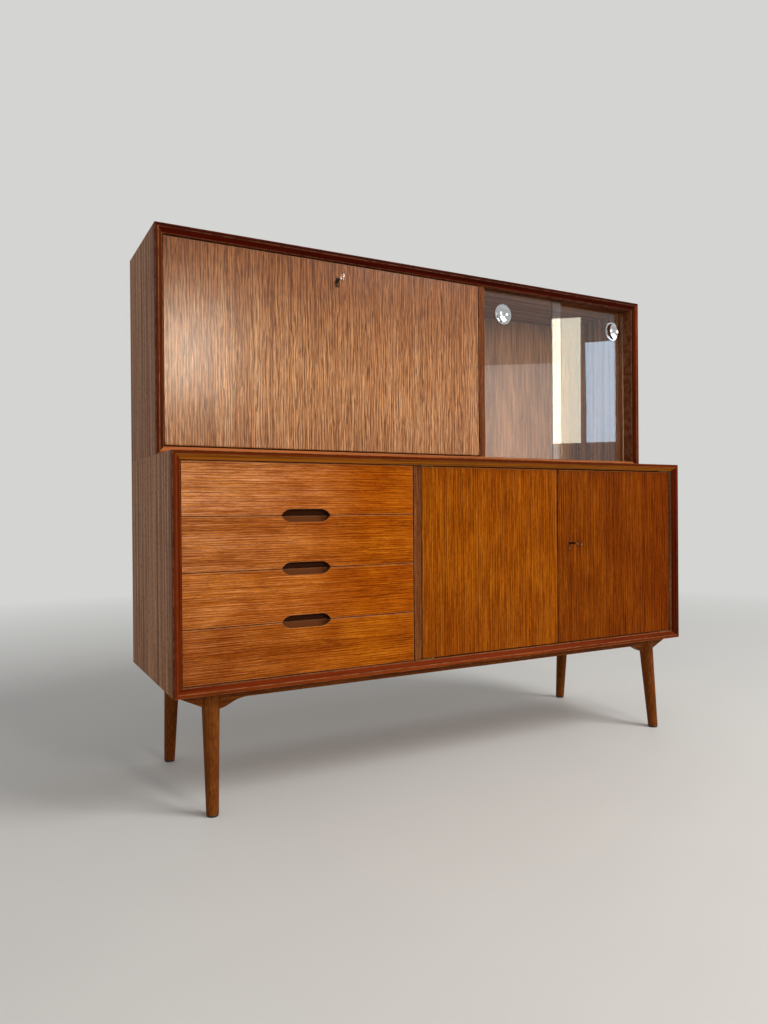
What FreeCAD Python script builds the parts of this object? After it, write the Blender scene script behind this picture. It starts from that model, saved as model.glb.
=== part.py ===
# Teak highboard: a deep lower case on a splayed leg base, with a shallower upper case on top.
# Millimetres. +X is to the right, the front faces -Y and Z is up from the floor.
import FreeCAD
import Part
import math
import os
import Sketcher
from FreeCAD import Rotation, Vector

dimensions = {
    # overall
    "case_width": 1500,
    "lower_depth": 456,
    "upper_depth": 305,
    "floor_gap": 263,
    "lower_height": 517,
    "upper_height": 520,
    "narrow_bay": 568,
    # boards of both cases, mitred at the corners and bevelled inwards at the front
    "board": 19,
    "edge_flat": 8,
    "bevel_depth": 11,
    "back_board": 6,
    "rebate": 10,
    # doors, flap and drawer fronts
    "reveal": 16,
    "front_thick": 19,
    "front_gap": 2.5,
    "hinge_round": 4,
    "arris": 0.8,
    # drawers
    "drawer_front_thick": 20,
    "drawer_gap": 1.5,
    "drawer_length": 390,
    "drawer_side": 12,
    "drawer_side_height": 90,
    "drawer_side_lift": 10,
    "drawer_bottom": 5,
    "drawer_bottom_lift": 6,
    "drawer_bottom_in": 5,
    "side_clear": 1,
    "runner_height": 14,
    "groove_depth": 6,
    "groove_stop": 20,
    "running_clear": 0.3,
    # eye-shaped finger recess, half in each of two drawer fronts
    "pull_length": 120,
    "pull_end": 24,
    "pull_height": 29,
    "pull_depth": 15,
    "pull_lip": 6,
    "pull_undercut": 5,
    # pivot hinges of the doors and the flap
    "pivot_inset": 7.5,
    "plate_length": 36,
    "plate_width": 12,
    "plate_thick": 1.2,
    "pin_radius": 3,
    "pin_depth": 9,
    "pin_clear": 0.06,
    "bush_radius": 5,
    "seat_clear": 0.05,
    # rim locks, keys and key plates
    "key_inset": 43,
    "door_key_rise": 35,
    "lock_edge": 0.5,
    "lock_tail": 19,
    "lock_height": 50,
    "lock_depth": 12,
    "lock_wall": 1.2,
    "bolt_height": 14,
    "bolt_thick": 5,
    "bolt_tail": 8,
    "bolt_throw": 10,
    "door_key_reach": 31,
    "flap_key_reach": 22,
    "shank_radius": 2.5,
    "shank_in": 4.5,
    "door_bow_depth": 24,
    "door_bow_height": 21,
    "flap_bow_depth": 20,
    "flap_bow_height": 25,
    "bow_rim": 4.5,
    "bow_thick": 3.4,
    "collar_radius": 4,
    "collar_length": 4,
    "bit_drop": 8,
    "bit_thick": 2,
    "key_plate_width": 11,
    "key_plate_height": 24,
    "key_plate_thick": 1,
    "keyhole_width": 7,
    "keyhole_height": 19,
    "keeper_width": 30,
    "keeper_height": 26,
    "strike_length": 34,
    "strike_width": 14,
    "strike_thick": 1,
    "bolt_clear": 0.6,
    # flap stays: slotted arms on brackets, with a stud in each side of the bay
    "stay_reach": 130,
    "stay_angle": 30,
    "flap_swing": 90,
    "stay_stand": 9,
    "stay_gap": 5,
    "stay_thick": 2.5,
    "stay_width": 13,
    "stay_end": 8,
    "stud_radius": 2.2,
    "stud_head": 5.5,
    "stud_cap": 1.6,
    "slot_clear": 0.4,
    "bracket_length": 34,
    "bracket_plate": 2,
    "bracket_ear": 2.5,
    # sliding glass
    "glass": 5,
    "pane_overlap": 24,
    "pane_side_clear": 1,
    "front_track": 30,
    "track_pitch": 14,
    "top_groove": 11,
    "bottom_groove": 5,
    "pane_hold": 5,
    "groove_clear": 0.4,
    "disc_radius": 29,
    "disc_flange": 1.2,
    "cup_radius": 24,
    "cup_back": 1.3,
    "dish_radius": 24.5,
    "dish_depth": 6.5,
    "left_disc_inset": 75,
    "right_disc_inset": 48,
    "disc_drop": 67,
    # loose shelves
    "shelf": 16,
    "shelf_clear": 1,
    "lower_shelf_rise": 230,
    "lower_shelf_depth": 340,
    "flap_shelf_rise": 250,
    "flap_shelf_depth": 210,
    "shelf_pin_radius": 2.5,
    "shelf_pin_in": 9,
    "shelf_pin_out": 9,
    "shelf_pin_inset": 50,
    # leg base
    "foot_radius": 13.5,
    "leg_top_radius": 20,
    "foot_from_side": 85,
    "foot_from_face": 24.5,
    "leg_lean_side": 4,
    "leg_lean_face": 24,
    "leg_trim": 6,
    "glide_height": 4,
    "glide_inset": 1,
    "rail_setback": 38,
    "rail_thick": 20,
    "rail_height": 20,
    "haunch_drop": 42,
    "haunch_run": 82,
    "wing_margin": 2,
}
drawer_count = 4

doc = FreeCAD.newDocument("highboard")
sheet = doc.addObject("Spreadsheet::Sheet", "sizes")
for row, (alias, number) in enumerate(dimensions.items(), 1):
    sheet.set(f"A{row}", alias)
    sheet.set(f"B{row}", str(number))
    sheet.setAlias(f"B{row}", alias)
doc.recompute()


class Size:
    # A number together with the expression of sheet cells that gives it.
    def __init__(self, number, text):
        self.number = number
        self.text = text

    def __add__(self, other):
        other = as_size(other)
        return Size(self.number + other.number, f"({self.text} + {other.text})")

    def __sub__(self, other):
        other = as_size(other)
        return Size(self.number - other.number, f"({self.text} - {other.text})")

    def __mul__(self, other):
        other = as_size(other)
        return Size(self.number * other.number, f"({self.text} * {other.text})")

    def __truediv__(self, other):
        other = as_size(other)
        return Size(self.number / other.number, f"({self.text} / {other.text})")

    def __neg__(self):
        return Size(-self.number, f"(0 - {self.text})")

    def __radd__(self, other):
        return as_size(other) + self

    def __rsub__(self, other):
        return as_size(other) - self

    def __rmul__(self, other):
        return as_size(other) * self


def as_size(value):
    return value if isinstance(value, Size) else Size(float(value), str(value))


def root(value):
    return Size(math.sqrt(value.number), f"sqrt({value.text})")


def sine(angle):
    return Size(math.sin(math.radians(angle.number)), f"sin({angle.text})")


def cosine(angle):
    return Size(math.cos(math.radians(angle.number)), f"cos({angle.text})")


def bind(target, path, value):
    target.setExpression(path, as_size(value).text)


class Dimensions:
    # Each named dimension as an attribute, read from the sheet.
    def __getattr__(self, alias):
        return Size(float(sheet.get(alias)), f"sizes.{alias}")


d = Dimensions()
turned = {
    "as drawn": Rotation(),
    "upside down": Rotation(Vector(0, 1, 0), 180),
    "facing right": Rotation(Vector(0, 1, 0), 90),
    "facing left": Rotation(Vector(0, 1, 0), -90),
    "facing right, upright": Rotation(Vector(1, 0, 1), 180),
    "half turn": Rotation(Vector(0, 0, 1), 180),
    "over and back": Rotation(Vector(1, 0, 0), 180),
}


def place(thing, x, y, z, turn="as drawn"):
    thing.Placement.Rotation = turned[turn]
    for axis, value in zip("xyz", (x, y, z)):
        bind(thing, f"Placement.Base.{axis}", value)
    return thing


def block(name, x, y, z, length, width, height):
    thing = doc.addObject("Part::Box", name)
    for side, value in zip(("Length", "Width", "Height"), (length, width, height)):
        bind(thing, side, value)
    return place(thing, x, y, z)


def rod(name, x, y, z, radius, length, turn):
    thing = doc.addObject("Part::Cylinder", name)
    bind(thing, "Radius", radius)
    bind(thing, "Height", length)
    return place(thing, x, y, z, turn)


def cut(name, base, tools):
    tool = tools[0]
    if len(tools) > 1:
        tool = doc.addObject("Part::Compound", f"{name}_cutters")
        tool.Links = tools
    thing = doc.addObject("Part::Cut", name)
    thing.Base = base
    thing.Tool = tool
    return thing


def group(name, things):
    thing = doc.addObject("Part::Compound", name)
    thing.Links = things
    return thing


def new_body(name):
    return doc.addObject("PartDesign::Body", name)


def sketch_on(body, plane, offset=0):
    # The offset runs along the plane's own normal: +Z on XY, -Y on XZ and +X on YZ.
    sketch = body.newObject("Sketcher::SketchObject", f"{body.Name}_sketch")
    support = [feature for feature in body.Origin.OriginFeatures if feature.Role == f"{plane}_Plane"]
    sketch.AttachmentSupport = [(support[0], "")]
    sketch.MapMode = "FlatFace"
    bind(sketch, "AttachmentOffset.Base.z", offset)
    return sketch


def fix_point(sketch, geometry, point, x, y):
    for kind, value in (("DistanceX", as_size(x)), ("DistanceY", as_size(y))):
        index = sketch.addConstraint(Sketcher.Constraint(kind, -1, 1, geometry, point, value.number))
        bind(sketch, f"Constraints[{index}]", value)


def outline(sketch, corners):
    # A closed line through corners (x, y). A corner (x, y, radius, turn) starts an arc to the next
    # corner, turning left for +1 and right for -1.
    ends = []
    for here, there in zip(corners, corners[1:] + corners[:1]):
        start = Vector(as_size(here[0]).number, as_size(here[1]).number, 0)
        end = Vector(as_size(there[0]).number, as_size(there[1]).number, 0)
        if len(here) == 2:
            index = sketch.addGeometry(Part.LineSegment(start, end), False)
            ends.append((index, 1, 2))
            continue
        radius, turn = here[2], here[3]
        chord = end - start
        rise = math.sqrt(max(radius.number ** 2 - chord.Length ** 2 / 4, 0))
        across = Vector(-chord.y, chord.x, 0).normalize() * turn
        middle = (start + end) / 2 + across * rise
        first, last = (start, end) if turn > 0 else (end, start)
        angles = [math.atan2(point.y - middle.y, point.x - middle.x) for point in (first, last)]
        circle = Part.Circle(middle, Vector(0, 0, 1), radius.number)
        index = sketch.addGeometry(Part.ArcOfCircle(circle, angles[0], angles[1]), False)
        ends.append((index, 1, 2) if turn > 0 else (index, 2, 1))
        arc = sketch.addConstraint(Sketcher.Constraint("Radius", index, radius.number))
        bind(sketch, f"Constraints[{arc}]", radius)
    for (index, start, end), after in zip(ends, ends[1:] + ends[:1]):
        sketch.addConstraint(Sketcher.Constraint("Coincident", index, end, after[0], after[1]))
    for (index, start, end), corner in zip(ends, corners):
        fix_point(sketch, index, start, corner[0], corner[1])


def rectangle(sketch, x0, y0, x1, y1):
    outline(sketch, [(x0, y0), (x1, y0), (x1, y1), (x0, y1)])


def rounded(sketch, x0, y0, x1, y1, radius):
    outline(sketch, [
        (x0 + radius, y0), (x1 - radius, y0, radius, 1), (x1, y0 + radius), (x1, y1 - radius, radius, 1),
        (x1 - radius, y1), (x0 + radius, y1, radius, 1), (x0, y1 - radius), (x0, y0 + radius, radius, 1),
    ])


def circle(sketch, x, y, radius):
    index = sketch.addGeometry(Part.Circle(Vector(0, 0, 0), Vector(0, 0, 1), radius.number), False)
    around = sketch.addConstraint(Sketcher.Constraint("Radius", index, radius.number))
    bind(sketch, f"Constraints[{around}]", radius)
    fix_point(sketch, index, 3, x, y)


def pad(body, sketch, length, backwards=False):
    # Sketches on XZ are padded backwards, to run from the front to the back.
    feature = body.newObject("PartDesign::Pad", f"{body.Name}_pad")
    feature.Profile = sketch
    feature.Reversed = backwards
    bind(feature, "Length", length)
    doc.recompute()


def pocket(body, sketch, length, backwards=False):
    # A pocket runs against the plane's normal: down from XY, to the back from XZ, to the left from YZ.
    doc.recompute()
    before = body.Shape.Volume
    feature = body.newObject("PartDesign::Pocket", f"{body.Name}_pocket")
    feature.Profile = sketch
    feature.Reversed = backwards
    bind(feature, "Length", length)
    doc.recompute()
    if body.Shape.Volume >= before:
        raise ValueError(f"a pocket of {body.Name} cuts nothing")


def ease(body, chosen):
    # Takes the arris off the edges along the front whose middle passes the test.
    solid = body.Tip.Shape
    names = []
    for number, edge in enumerate(solid.Edges, 1):
        middle = edge.BoundBox.Center
        if edge.BoundBox.YMax < d.arris.number / 2 and chosen(middle):
            names.append(f"Edge{number}")
    feature = body.newObject("PartDesign::Chamfer", f"{body.Name}_arris")
    feature.Base = (feature.BaseFeature, names)
    bind(feature, "Size", d.arris)
    doc.recompute()


def revolve(body, sketch, axis):
    feature = body.newObject("PartDesign::Revolution", f"{body.Name}_turning")
    feature.Profile = sketch
    feature.ReferenceAxis = (sketch, [axis])
    doc.recompute()


# Places shared by the pieces
half = d.case_width / 2
front = (d.door_key_reach - d.lower_depth) / 2
back = front + d.lower_depth
upper_front = back - d.upper_depth
lower_z = d.floor_gap
seam_z = lower_z + d.lower_height
top_z = seam_z + d.upper_height
left_inside = -half + d.board
right_inside = half - d.board
wide_bay = d.case_width - 3 * d.board - d.narrow_bay
lower_divider_x = left_inside + d.narrow_bay
door_bay_x = lower_divider_x + d.board
upper_divider_x = left_inside + wide_bay
glass_bay_x = upper_divider_x + d.board
lower_floor = lower_z + d.board
lower_ceiling = seam_z - d.board
upper_floor = seam_z + d.board
upper_ceiling = top_z - d.board
fronts_y = front + d.reveal
flap_y = upper_front + d.reveal
back_inside = back - d.back_board
nodes = []


def keep(thing, label):
    thing.Label = label
    nodes.append(thing)
    return thing


# Case boards
def mitred_board(name, length, depth):
    # Drawn with its outer face on z = 0 and its front edge on y = 0.
    body = new_body(name)
    sketch = sketch_on(body, "XZ")
    outline(sketch, [(0, 0), (length, 0), (length - d.board, d.board), (d.board, d.board)])
    pad(body, sketch, depth, True)
    edges = sketch_on(body, "YZ")
    outline(edges, [(0, d.edge_flat), (d.bevel_depth, d.board), (0, d.board)])
    rectangle(edges, depth - d.back_board, d.board - d.rebate, depth, d.board)
    pocket(body, edges, length, True)
    return body


def pin_holes(body, places):
    holes = sketch_on(body, "XY", d.board)
    for x, y in places:
        circle(holes, x, y, d.shelf_pin_radius + d.seat_clear)
    pocket(body, holes, d.shelf_pin_in)


def shelf_pin_rows(shelf_depth, shelf_back):
    return [shelf_back - shelf_depth + d.shelf_pin_inset, shelf_back - d.shelf_pin_inset]


lower_pin_z = lower_floor + d.lower_shelf_rise - d.shelf_pin_radius
flap_pin_z = upper_floor + d.flap_shelf_rise - d.shelf_pin_radius
lower_pin_rows = shelf_pin_rows(d.lower_shelf_depth, back_inside)
flap_pin_rows = shelf_pin_rows(d.flap_shelf_depth, back_inside)

cases = {
    "lower": (d.lower_height, d.lower_depth, lower_z, front),
    "upper": (d.upper_height, d.upper_depth, seam_z, upper_front),
}
case_boards = {}
for case, (height, depth, base, face) in cases.items():
    seats = {
        "bottom_board": (d.case_width, -half, base, "as drawn"),
        "top_board": (d.case_width, half, base + height, "upside down"),
        "left_side": (height, -half, base + height, "facing right"),
        "right_side": (height, half, base, "facing left"),
    }
    for piece, (length, x, z, turn) in seats.items():
        label = f"{case}_{piece}"
        body = mitred_board(label, length, depth)
        case_boards[label] = keep(place(body, x, face, z, turn), label)

pin_holes(case_boards["lower_right_side"],
          [(lower_pin_z - lower_z, y - front) for y in lower_pin_rows])
pin_holes(case_boards["upper_left_side"],
          [(top_z - flap_pin_z, y - upper_front) for y in flap_pin_rows])

# Grooves for the glass, and the hole that takes the flap's bolt
track_width = d.glass + 2 * d.groove_clear
track_offsets = [d.front_track - d.groove_clear, d.front_track + d.track_pitch - d.groove_clear]
bolt_y = flap_y + d.front_thick + d.lock_depth - d.lock_wall - d.bolt_thick - d.bolt_clear
flap_middle = left_inside + wide_bay / 2
for label, start, groove in (("upper_bottom_board", glass_bay_x + half, d.bottom_groove),
                             ("upper_top_board", half - right_inside, d.top_groove)):
    grooves = sketch_on(case_boards[label], "XY", d.board)
    for offset in track_offsets:
        rectangle(grooves, start, offset, start + d.narrow_bay, offset + track_width)
    pocket(case_boards[label], grooves, groove)
hole = sketch_on(case_boards["upper_top_board"], "XY", d.board)
hole_half = d.bolt_height / 2 + d.bolt_clear
rectangle(hole, half - flap_middle - hole_half, bolt_y - upper_front - d.bolt_clear,
          half - flap_middle + hole_half, bolt_y - upper_front + d.bolt_thick + d.bolt_clear)
pocket(case_boards["upper_top_board"], hole, d.bolt_throw)


def divider(label, x, face, floor, ceiling, drilled):
    board = block(f"{label}_blank", x, face, floor, d.board, back_inside - face, ceiling - floor)
    radius = d.shelf_pin_radius + d.seat_clear
    drills = [rod(f"{label}_drill", start, y, z, radius, d.shelf_pin_in, "facing right")
              for start, y, z in drilled]
    keep(cut(label, board, drills), label)


divider("lower_divider", lower_divider_x, fronts_y, lower_floor, lower_ceiling,
        [(door_bay_x - d.shelf_pin_in, y, lower_pin_z) for y in lower_pin_rows])
divider("upper_divider", upper_divider_x, flap_y, upper_floor, upper_ceiling,
        [(upper_divider_x, y, flap_pin_z) for y in flap_pin_rows])

for case, (height, depth, base, face) in cases.items():
    inset = d.board - d.rebate
    keep(block(f"{case}_back_board", -half + inset, back_inside, base + inset,
               d.case_width - 2 * inset, d.back_board, height - 2 * inset), f"{case}_back_board")


# Loose shelves on pins
def loose_shelf(label, x, width, z, depth):
    keep(block(label, x + d.shelf_clear, back_inside - depth, z,
               width - 2 * d.shelf_clear, depth, d.shelf), label)


loose_shelf("lower_shelf", door_bay_x, wide_bay, lower_floor + d.lower_shelf_rise, d.lower_shelf_depth)
loose_shelf("flap_shelf", left_inside, wide_bay, upper_floor + d.flap_shelf_rise, d.flap_shelf_depth)
pins = []
pin_length = d.shelf_pin_in + d.shelf_pin_out
for bay_x, rows, z in ((door_bay_x, lower_pin_rows, lower_pin_z), (left_inside, flap_pin_rows, flap_pin_z)):
    for x in (bay_x - d.shelf_pin_in, bay_x + wide_bay - d.shelf_pin_out):
        pins += [rod("shelf_pin", x, y, z, d.shelf_pin_radius, pin_length, "facing right") for y in rows]
keep(group("shelf_pins", pins), "shelf_pins")


# Drawers
front_width = d.narrow_bay - 2 * d.front_gap
front_height = (d.lower_height - 2 * d.board - (drawer_count + 1) * d.drawer_gap) / drawer_count
box_y = fronts_y + d.drawer_front_thick
runner_rise = d.drawer_side_lift + d.drawer_side_height / 2 - d.runner_height / 2
runner_out = d.side_clear + d.groove_depth - d.running_clear


def finger_recess(body, edge, way):
    # Half an eye on the joint line, with a wider groove behind the lip for the fingertips.
    joint = edge - way * d.drawer_gap / 2
    crest = joint + way * d.pull_height / 2
    rise = d.pull_height / 2
    bend = (d.pull_end * d.pull_end + rise * rise) / (2 * rise)
    left = front_width / 2 - d.pull_length / 2
    right = front_width / 2 + d.pull_length / 2
    eye = sketch_on(body, "XZ")
    outline(eye, [(left, joint, bend, -way), (left + d.pull_end, crest),
                  (right - d.pull_end, crest, bend, -way), (right, joint)])
    pocket(body, eye, d.pull_depth)
    grip = sketch_on(body, "XZ", -d.pull_lip)
    rectangle(grip, left + d.pull_end, joint, right - d.pull_end, crest + way * d.pull_undercut)
    pocket(body, grip, d.pull_depth - d.pull_lip)


def drawer_front(label, number, z):
    body = new_body(label)
    face = sketch_on(body, "XZ")
    rectangle(face, 0, 0, front_width, front_height)
    pad(body, face, d.drawer_front_thick, True)
    ease(body, lambda middle: True)
    if number < drawer_count:
        finger_recess(body, as_size(0), 1)
    if number > 1:
        finger_recess(body, front_height, -1)
    keep(place(body, left_inside + d.front_gap, fronts_y, z), label)


def drawer_box(label, z):
    base = z + d.drawer_side_lift
    outer = left_inside + d.side_clear
    outer_width = d.narrow_bay - 2 * d.side_clear
    groove_z = z + runner_rise - d.running_clear
    groove_height = d.runner_height + 2 * d.running_clear
    pieces = []
    far = outer + outer_width
    inner = outer + d.drawer_side
    inner_width = outer_width - 2 * d.drawer_side
    floor = base + d.drawer_bottom_lift
    bottom_x = inner - d.drawer_bottom_in
    bottom_width = inner_width + 2 * d.drawer_bottom_in
    for x, groove_x in ((outer, outer), (far - d.drawer_side, far - d.groove_depth)):
        side = block(f"{label}_side", x, box_y, base, d.drawer_side, d.drawer_length, d.drawer_side_height)
        groove = block(f"{label}_groove", groove_x, box_y + d.groove_stop, groove_z,
                       d.groove_depth, d.drawer_length - d.groove_stop, groove_height)
        seat = block(f"{label}_seat", bottom_x, box_y, floor, bottom_width, d.drawer_length, d.drawer_bottom)
        pieces.append(cut(f"{label}_side_grooved", side, [groove, seat]))
    pieces.append(block(f"{label}_bottom", bottom_x, box_y, floor,
                        bottom_width, d.drawer_length, d.drawer_bottom))
    back_height = d.drawer_side_height - d.drawer_bottom_lift - d.drawer_bottom
    pieces.append(block(f"{label}_back", inner, box_y + d.drawer_length - d.drawer_side,
                        floor + d.drawer_bottom, inner_width, d.drawer_side, back_height))
    keep(group(label, pieces), label)


runners = []
for number in range(1, drawer_count + 1):
    drawer_z = lower_floor + d.drawer_gap + (drawer_count - number) * (front_height + d.drawer_gap)
    drawer_front(f"drawer_{number}_front", number, drawer_z)
    drawer_box(f"drawer_{number}_box", drawer_z)
    for x in (left_inside, lower_divider_x - runner_out):
        runners.append(block("runner", x, box_y + d.groove_stop + d.running_clear, drawer_z + runner_rise,
                             runner_out, d.drawer_length - d.groove_stop, d.runner_height))
keep(group("drawer_runners", runners), "drawer_runners")


# Pivot hinges: a plate with a pin on the case, and a bush in the door or flap
bush_depth = d.pin_depth + d.seat_clear
bush_hole = d.bush_radius + d.seat_clear


def pivot_plate(name, x, y, z, turn):
    body = new_body(name)
    plate = sketch_on(body, "XY")
    edge = d.plate_width / 2
    rounded(plate, -edge, -edge, d.plate_length - edge, edge, edge / 2)
    pad(body, plate, d.plate_thick)
    pin = sketch_on(body, "XY", d.plate_thick)
    circle(pin, 0, 0, d.pin_radius)
    pad(body, pin, d.front_gap - d.plate_thick + d.pin_depth - d.seat_clear)
    return place(body, x, y, z, turn)


def bush(name, x, y, z, turn):
    body = new_body(name)
    ring = sketch_on(body, "XY")
    circle(ring, 0, 0, d.bush_radius)
    circle(ring, 0, 0, d.pin_radius + d.pin_clear)
    pad(body, ring, d.pin_depth)
    return place(body, x, y, z, turn)


def keyhole(body, x, z):
    hole = sketch_on(body, "XZ")
    edge = d.keyhole_width / 2
    rounded(hole, x - edge, z - d.keyhole_height + edge, x + edge, z + edge, edge / 2)
    pocket(body, hole, d.front_thick)


# Doors
door_width = (wide_bay - 3 * d.front_gap) / 2
door_height = lower_ceiling - lower_floor - 2 * d.front_gap
door_z = lower_floor + d.front_gap
left_door_x = door_bay_x + d.front_gap
right_door_x = left_door_x + door_width + d.front_gap
pivot_y = fronts_y + d.pivot_inset
door_key_z = door_height / 2 + d.door_key_rise


def door(label, x, hinge_x, plan):
    body = new_body(label)
    section = sketch_on(body, "XY")
    outline(section, plan)
    pad(body, section, door_height)
    ease(body, lambda middle: abs(middle.x - hinge_x.number) > 2 * d.hinge_round.number)
    for level, backwards in ((0, True), (door_height, False)):
        bore = sketch_on(body, "XY", level)
        circle(bore, hinge_x, d.pivot_inset, bush_hole)
        pocket(body, bore, bush_depth, backwards)
    return keep(place(body, x, fronts_y, door_z), label)


door("left_door", left_door_x, d.pivot_inset, [
    (0, d.hinge_round, d.hinge_round, 1), (d.hinge_round, 0), (door_width, 0),
    (door_width, d.front_thick), (0, d.front_thick)])
right_door = door("right_door", right_door_x, door_width - d.pivot_inset, [
    (0, 0), (door_width - d.hinge_round, 0, d.hinge_round, 1), (door_width, d.hinge_round),
    (door_width, d.front_thick), (0, d.front_thick)])
keyhole(right_door, d.key_inset, door_key_z)

hinge_lines = {
    "left_door": left_door_x + d.pivot_inset,
    "right_door": right_door_x + door_width - d.pivot_inset,
}
plates = []
for side, x in hinge_lines.items():
    low, high = ("as drawn", "over and back") if side == "left_door" else ("half turn", "upside down")
    plates.append(pivot_plate(f"{side}_low_plate", x, pivot_y, lower_floor, low))
    plates.append(pivot_plate(f"{side}_high_plate", x, pivot_y, lower_ceiling, high))
    keep(group(f"{side}_bushes", [
        bush(f"{side}_low_bush", x, pivot_y, door_z, "as drawn"),
        bush(f"{side}_high_bush", x, pivot_y, door_z + door_height, "over and back")]), f"{side}_bushes")
keep(group("door_pivot_plates", plates), "door_pivot_plates")

# Flap
flap_x = left_inside + d.front_gap
flap_width = wide_bay - 2 * d.front_gap
flap_z = upper_floor + d.front_gap
flap_height = upper_ceiling - upper_floor - 2 * d.front_gap
flap_pivot_y = flap_y + d.pivot_inset
flap_pivot_z = flap_z + d.pivot_inset
flap = new_body("flap")
flap_section = sketch_on(flap, "YZ")
outline(flap_section, [(d.front_thick, 0), (d.front_thick, flap_height), (0, flap_height),
                       (0, d.hinge_round, d.hinge_round, 1), (d.hinge_round, 0)])
pad(flap, flap_section, flap_width)
ease(flap, lambda middle: middle.z > 2 * d.hinge_round.number)
for level, backwards in ((0, True), (flap_width, False)):
    flap_bore = sketch_on(flap, "YZ", level)
    circle(flap_bore, d.pivot_inset, d.pivot_inset, bush_hole)
    pocket(flap, flap_bore, bush_depth, backwards)
keyhole(flap, flap_width / 2, flap_height - d.key_inset)
keep(place(flap, flap_x, flap_y, flap_z), "flap")
keep(group("flap_pivot_plates", [
    pivot_plate("flap_left_plate", left_inside, flap_pivot_y, flap_pivot_z, "facing right, upright"),
    pivot_plate("flap_right_plate", upper_divider_x, flap_pivot_y, flap_pivot_z, "facing left")]),
    "flap_pivot_plates")
keep(group("flap_bushes", [
    bush("flap_left_bush", flap_x, flap_pivot_y, flap_pivot_z, "facing right"),
    bush("flap_right_bush", flap_x + flap_width, flap_pivot_y, flap_pivot_z, "facing left")]), "flap_bushes")


# Rim locks, drawn about the key's axis with the bolt to the left and y = 0 on the back of the front
lock_backset = d.key_inset - d.lock_edge
bolt_low = d.lock_depth - d.lock_wall - d.bolt_thick - d.bolt_clear


def lock_case(label, x, y, z, turn):
    body = new_body(label)
    shell = sketch_on(body, "XZ")
    tall = d.lock_height / 2
    rounded(shell, -lock_backset, -tall, d.lock_tail, tall, 2 * d.lock_wall)
    pad(body, shell, d.lock_depth, True)
    hollow = sketch_on(body, "XZ")
    rectangle(hollow, -lock_backset + d.lock_wall, -tall + d.lock_wall,
              d.lock_tail - d.lock_wall, tall - d.lock_wall)
    pocket(body, hollow, d.lock_depth - d.lock_wall)
    mouth = sketch_on(body, "YZ", -lock_backset)
    gap = d.bolt_height / 2 + d.running_clear
    rectangle(mouth, bolt_low - d.running_clear, -gap, bolt_low + d.bolt_thick + d.running_clear, gap)
    pocket(body, mouth, d.lock_wall, True)
    keep(place(body, x, y, z, turn), label)


def lock_bolt(label, x, y, z, turn):
    body = new_body(label)
    face = sketch_on(body, "XZ", -bolt_low)
    rounded(face, -lock_backset, -d.bolt_height / 2, d.bolt_tail, d.bolt_height / 2, d.bolt_thick / 4)
    pad(body, face, d.bolt_thick, True)
    keep(place(body, x, y, z, turn), label)


def key(label, x, y, z, reach, bow_depth, bow_height):
    # The bow, an oval ring, stands upright on the line of the shank.
    body = new_body(label)
    tip = -d.front_thick - d.reveal - reach
    stem = sketch_on(body, "XY")
    neck = tip + bow_depth - d.bow_rim / 2
    collar = -d.front_thick - d.key_plate_thick - d.running_clear
    outline(stem, [
        (0, neck), (d.shank_radius, neck), (d.shank_radius, collar - d.collar_length),
        (d.collar_radius, collar - d.collar_length), (d.collar_radius, collar),
        (d.shank_radius, collar), (d.shank_radius, d.shank_in), (0, d.shank_in)])
    revolve(body, stem, "V_Axis")
    bow = sketch_on(body, "YZ", -d.bow_thick / 2)
    bend = 0.8 * bow_depth * bow_height / (bow_depth + bow_height)
    high = bow_height / 2
    rounded(bow, tip, -high, tip + bow_depth, high, bend)
    rounded(bow, tip + d.bow_rim, d.bow_rim - high, tip + bow_depth - d.bow_rim, high - d.bow_rim,
            bend - d.bow_rim)
    pad(body, bow, d.bow_thick)
    bit = sketch_on(body, "YZ", -d.bit_thick / 2)
    rectangle(bit, d.running_clear, -d.bit_drop, d.shank_in, 0)
    pad(body, bit, d.bit_thick)
    keep(place(body, x, y, z), label)


def key_plate(label, x, y, z):
    # Drawn with its back on y = 0 and the key's axis at the origin.
    body = new_body(label)
    edge = d.key_plate_width / 2
    plate = sketch_on(body, "XZ")
    rounded(plate, -edge, edge - d.key_plate_height, edge, edge, edge - d.key_plate_thick)
    pad(body, plate, d.key_plate_thick)
    eye = sketch_on(body, "XZ", d.key_plate_thick)
    circle(eye, 0, 0, d.shank_radius + d.seat_clear)
    pocket(body, eye, d.key_plate_thick)
    slot = sketch_on(body, "XZ", d.key_plate_thick)
    wide = d.bit_thick / 2 + d.running_clear
    rectangle(slot, -wide, -d.bit_drop - d.running_clear, wide, 0)
    pocket(body, slot, d.key_plate_thick)
    keep(place(body, x, y, z), label)


door_key_x = right_door_x + d.key_inset
flap_key_z = flap_z + flap_height - d.key_inset
locks = {
    "door": (door_key_x, fronts_y, door_z + door_key_z, "as drawn"),
    "flap": (flap_middle, flap_y, flap_key_z, "facing right"),
}
keys = {
    "door": (d.door_key_reach, d.door_bow_depth, d.door_bow_height),
    "flap": (d.flap_key_reach, d.flap_bow_depth, d.flap_bow_height),
}
for owner, (x, face, z, turn) in locks.items():
    lock_case(f"{owner}_lock_case", x, face + d.front_thick, z, turn)
    lock_bolt(f"{owner}_lock_bolt", x, face + d.front_thick, z, turn)
    key(f"{owner}_key", x, face + d.front_thick, z, *keys[owner])
    key_plate(f"{owner}_key_plate", x, face, z)

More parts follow.
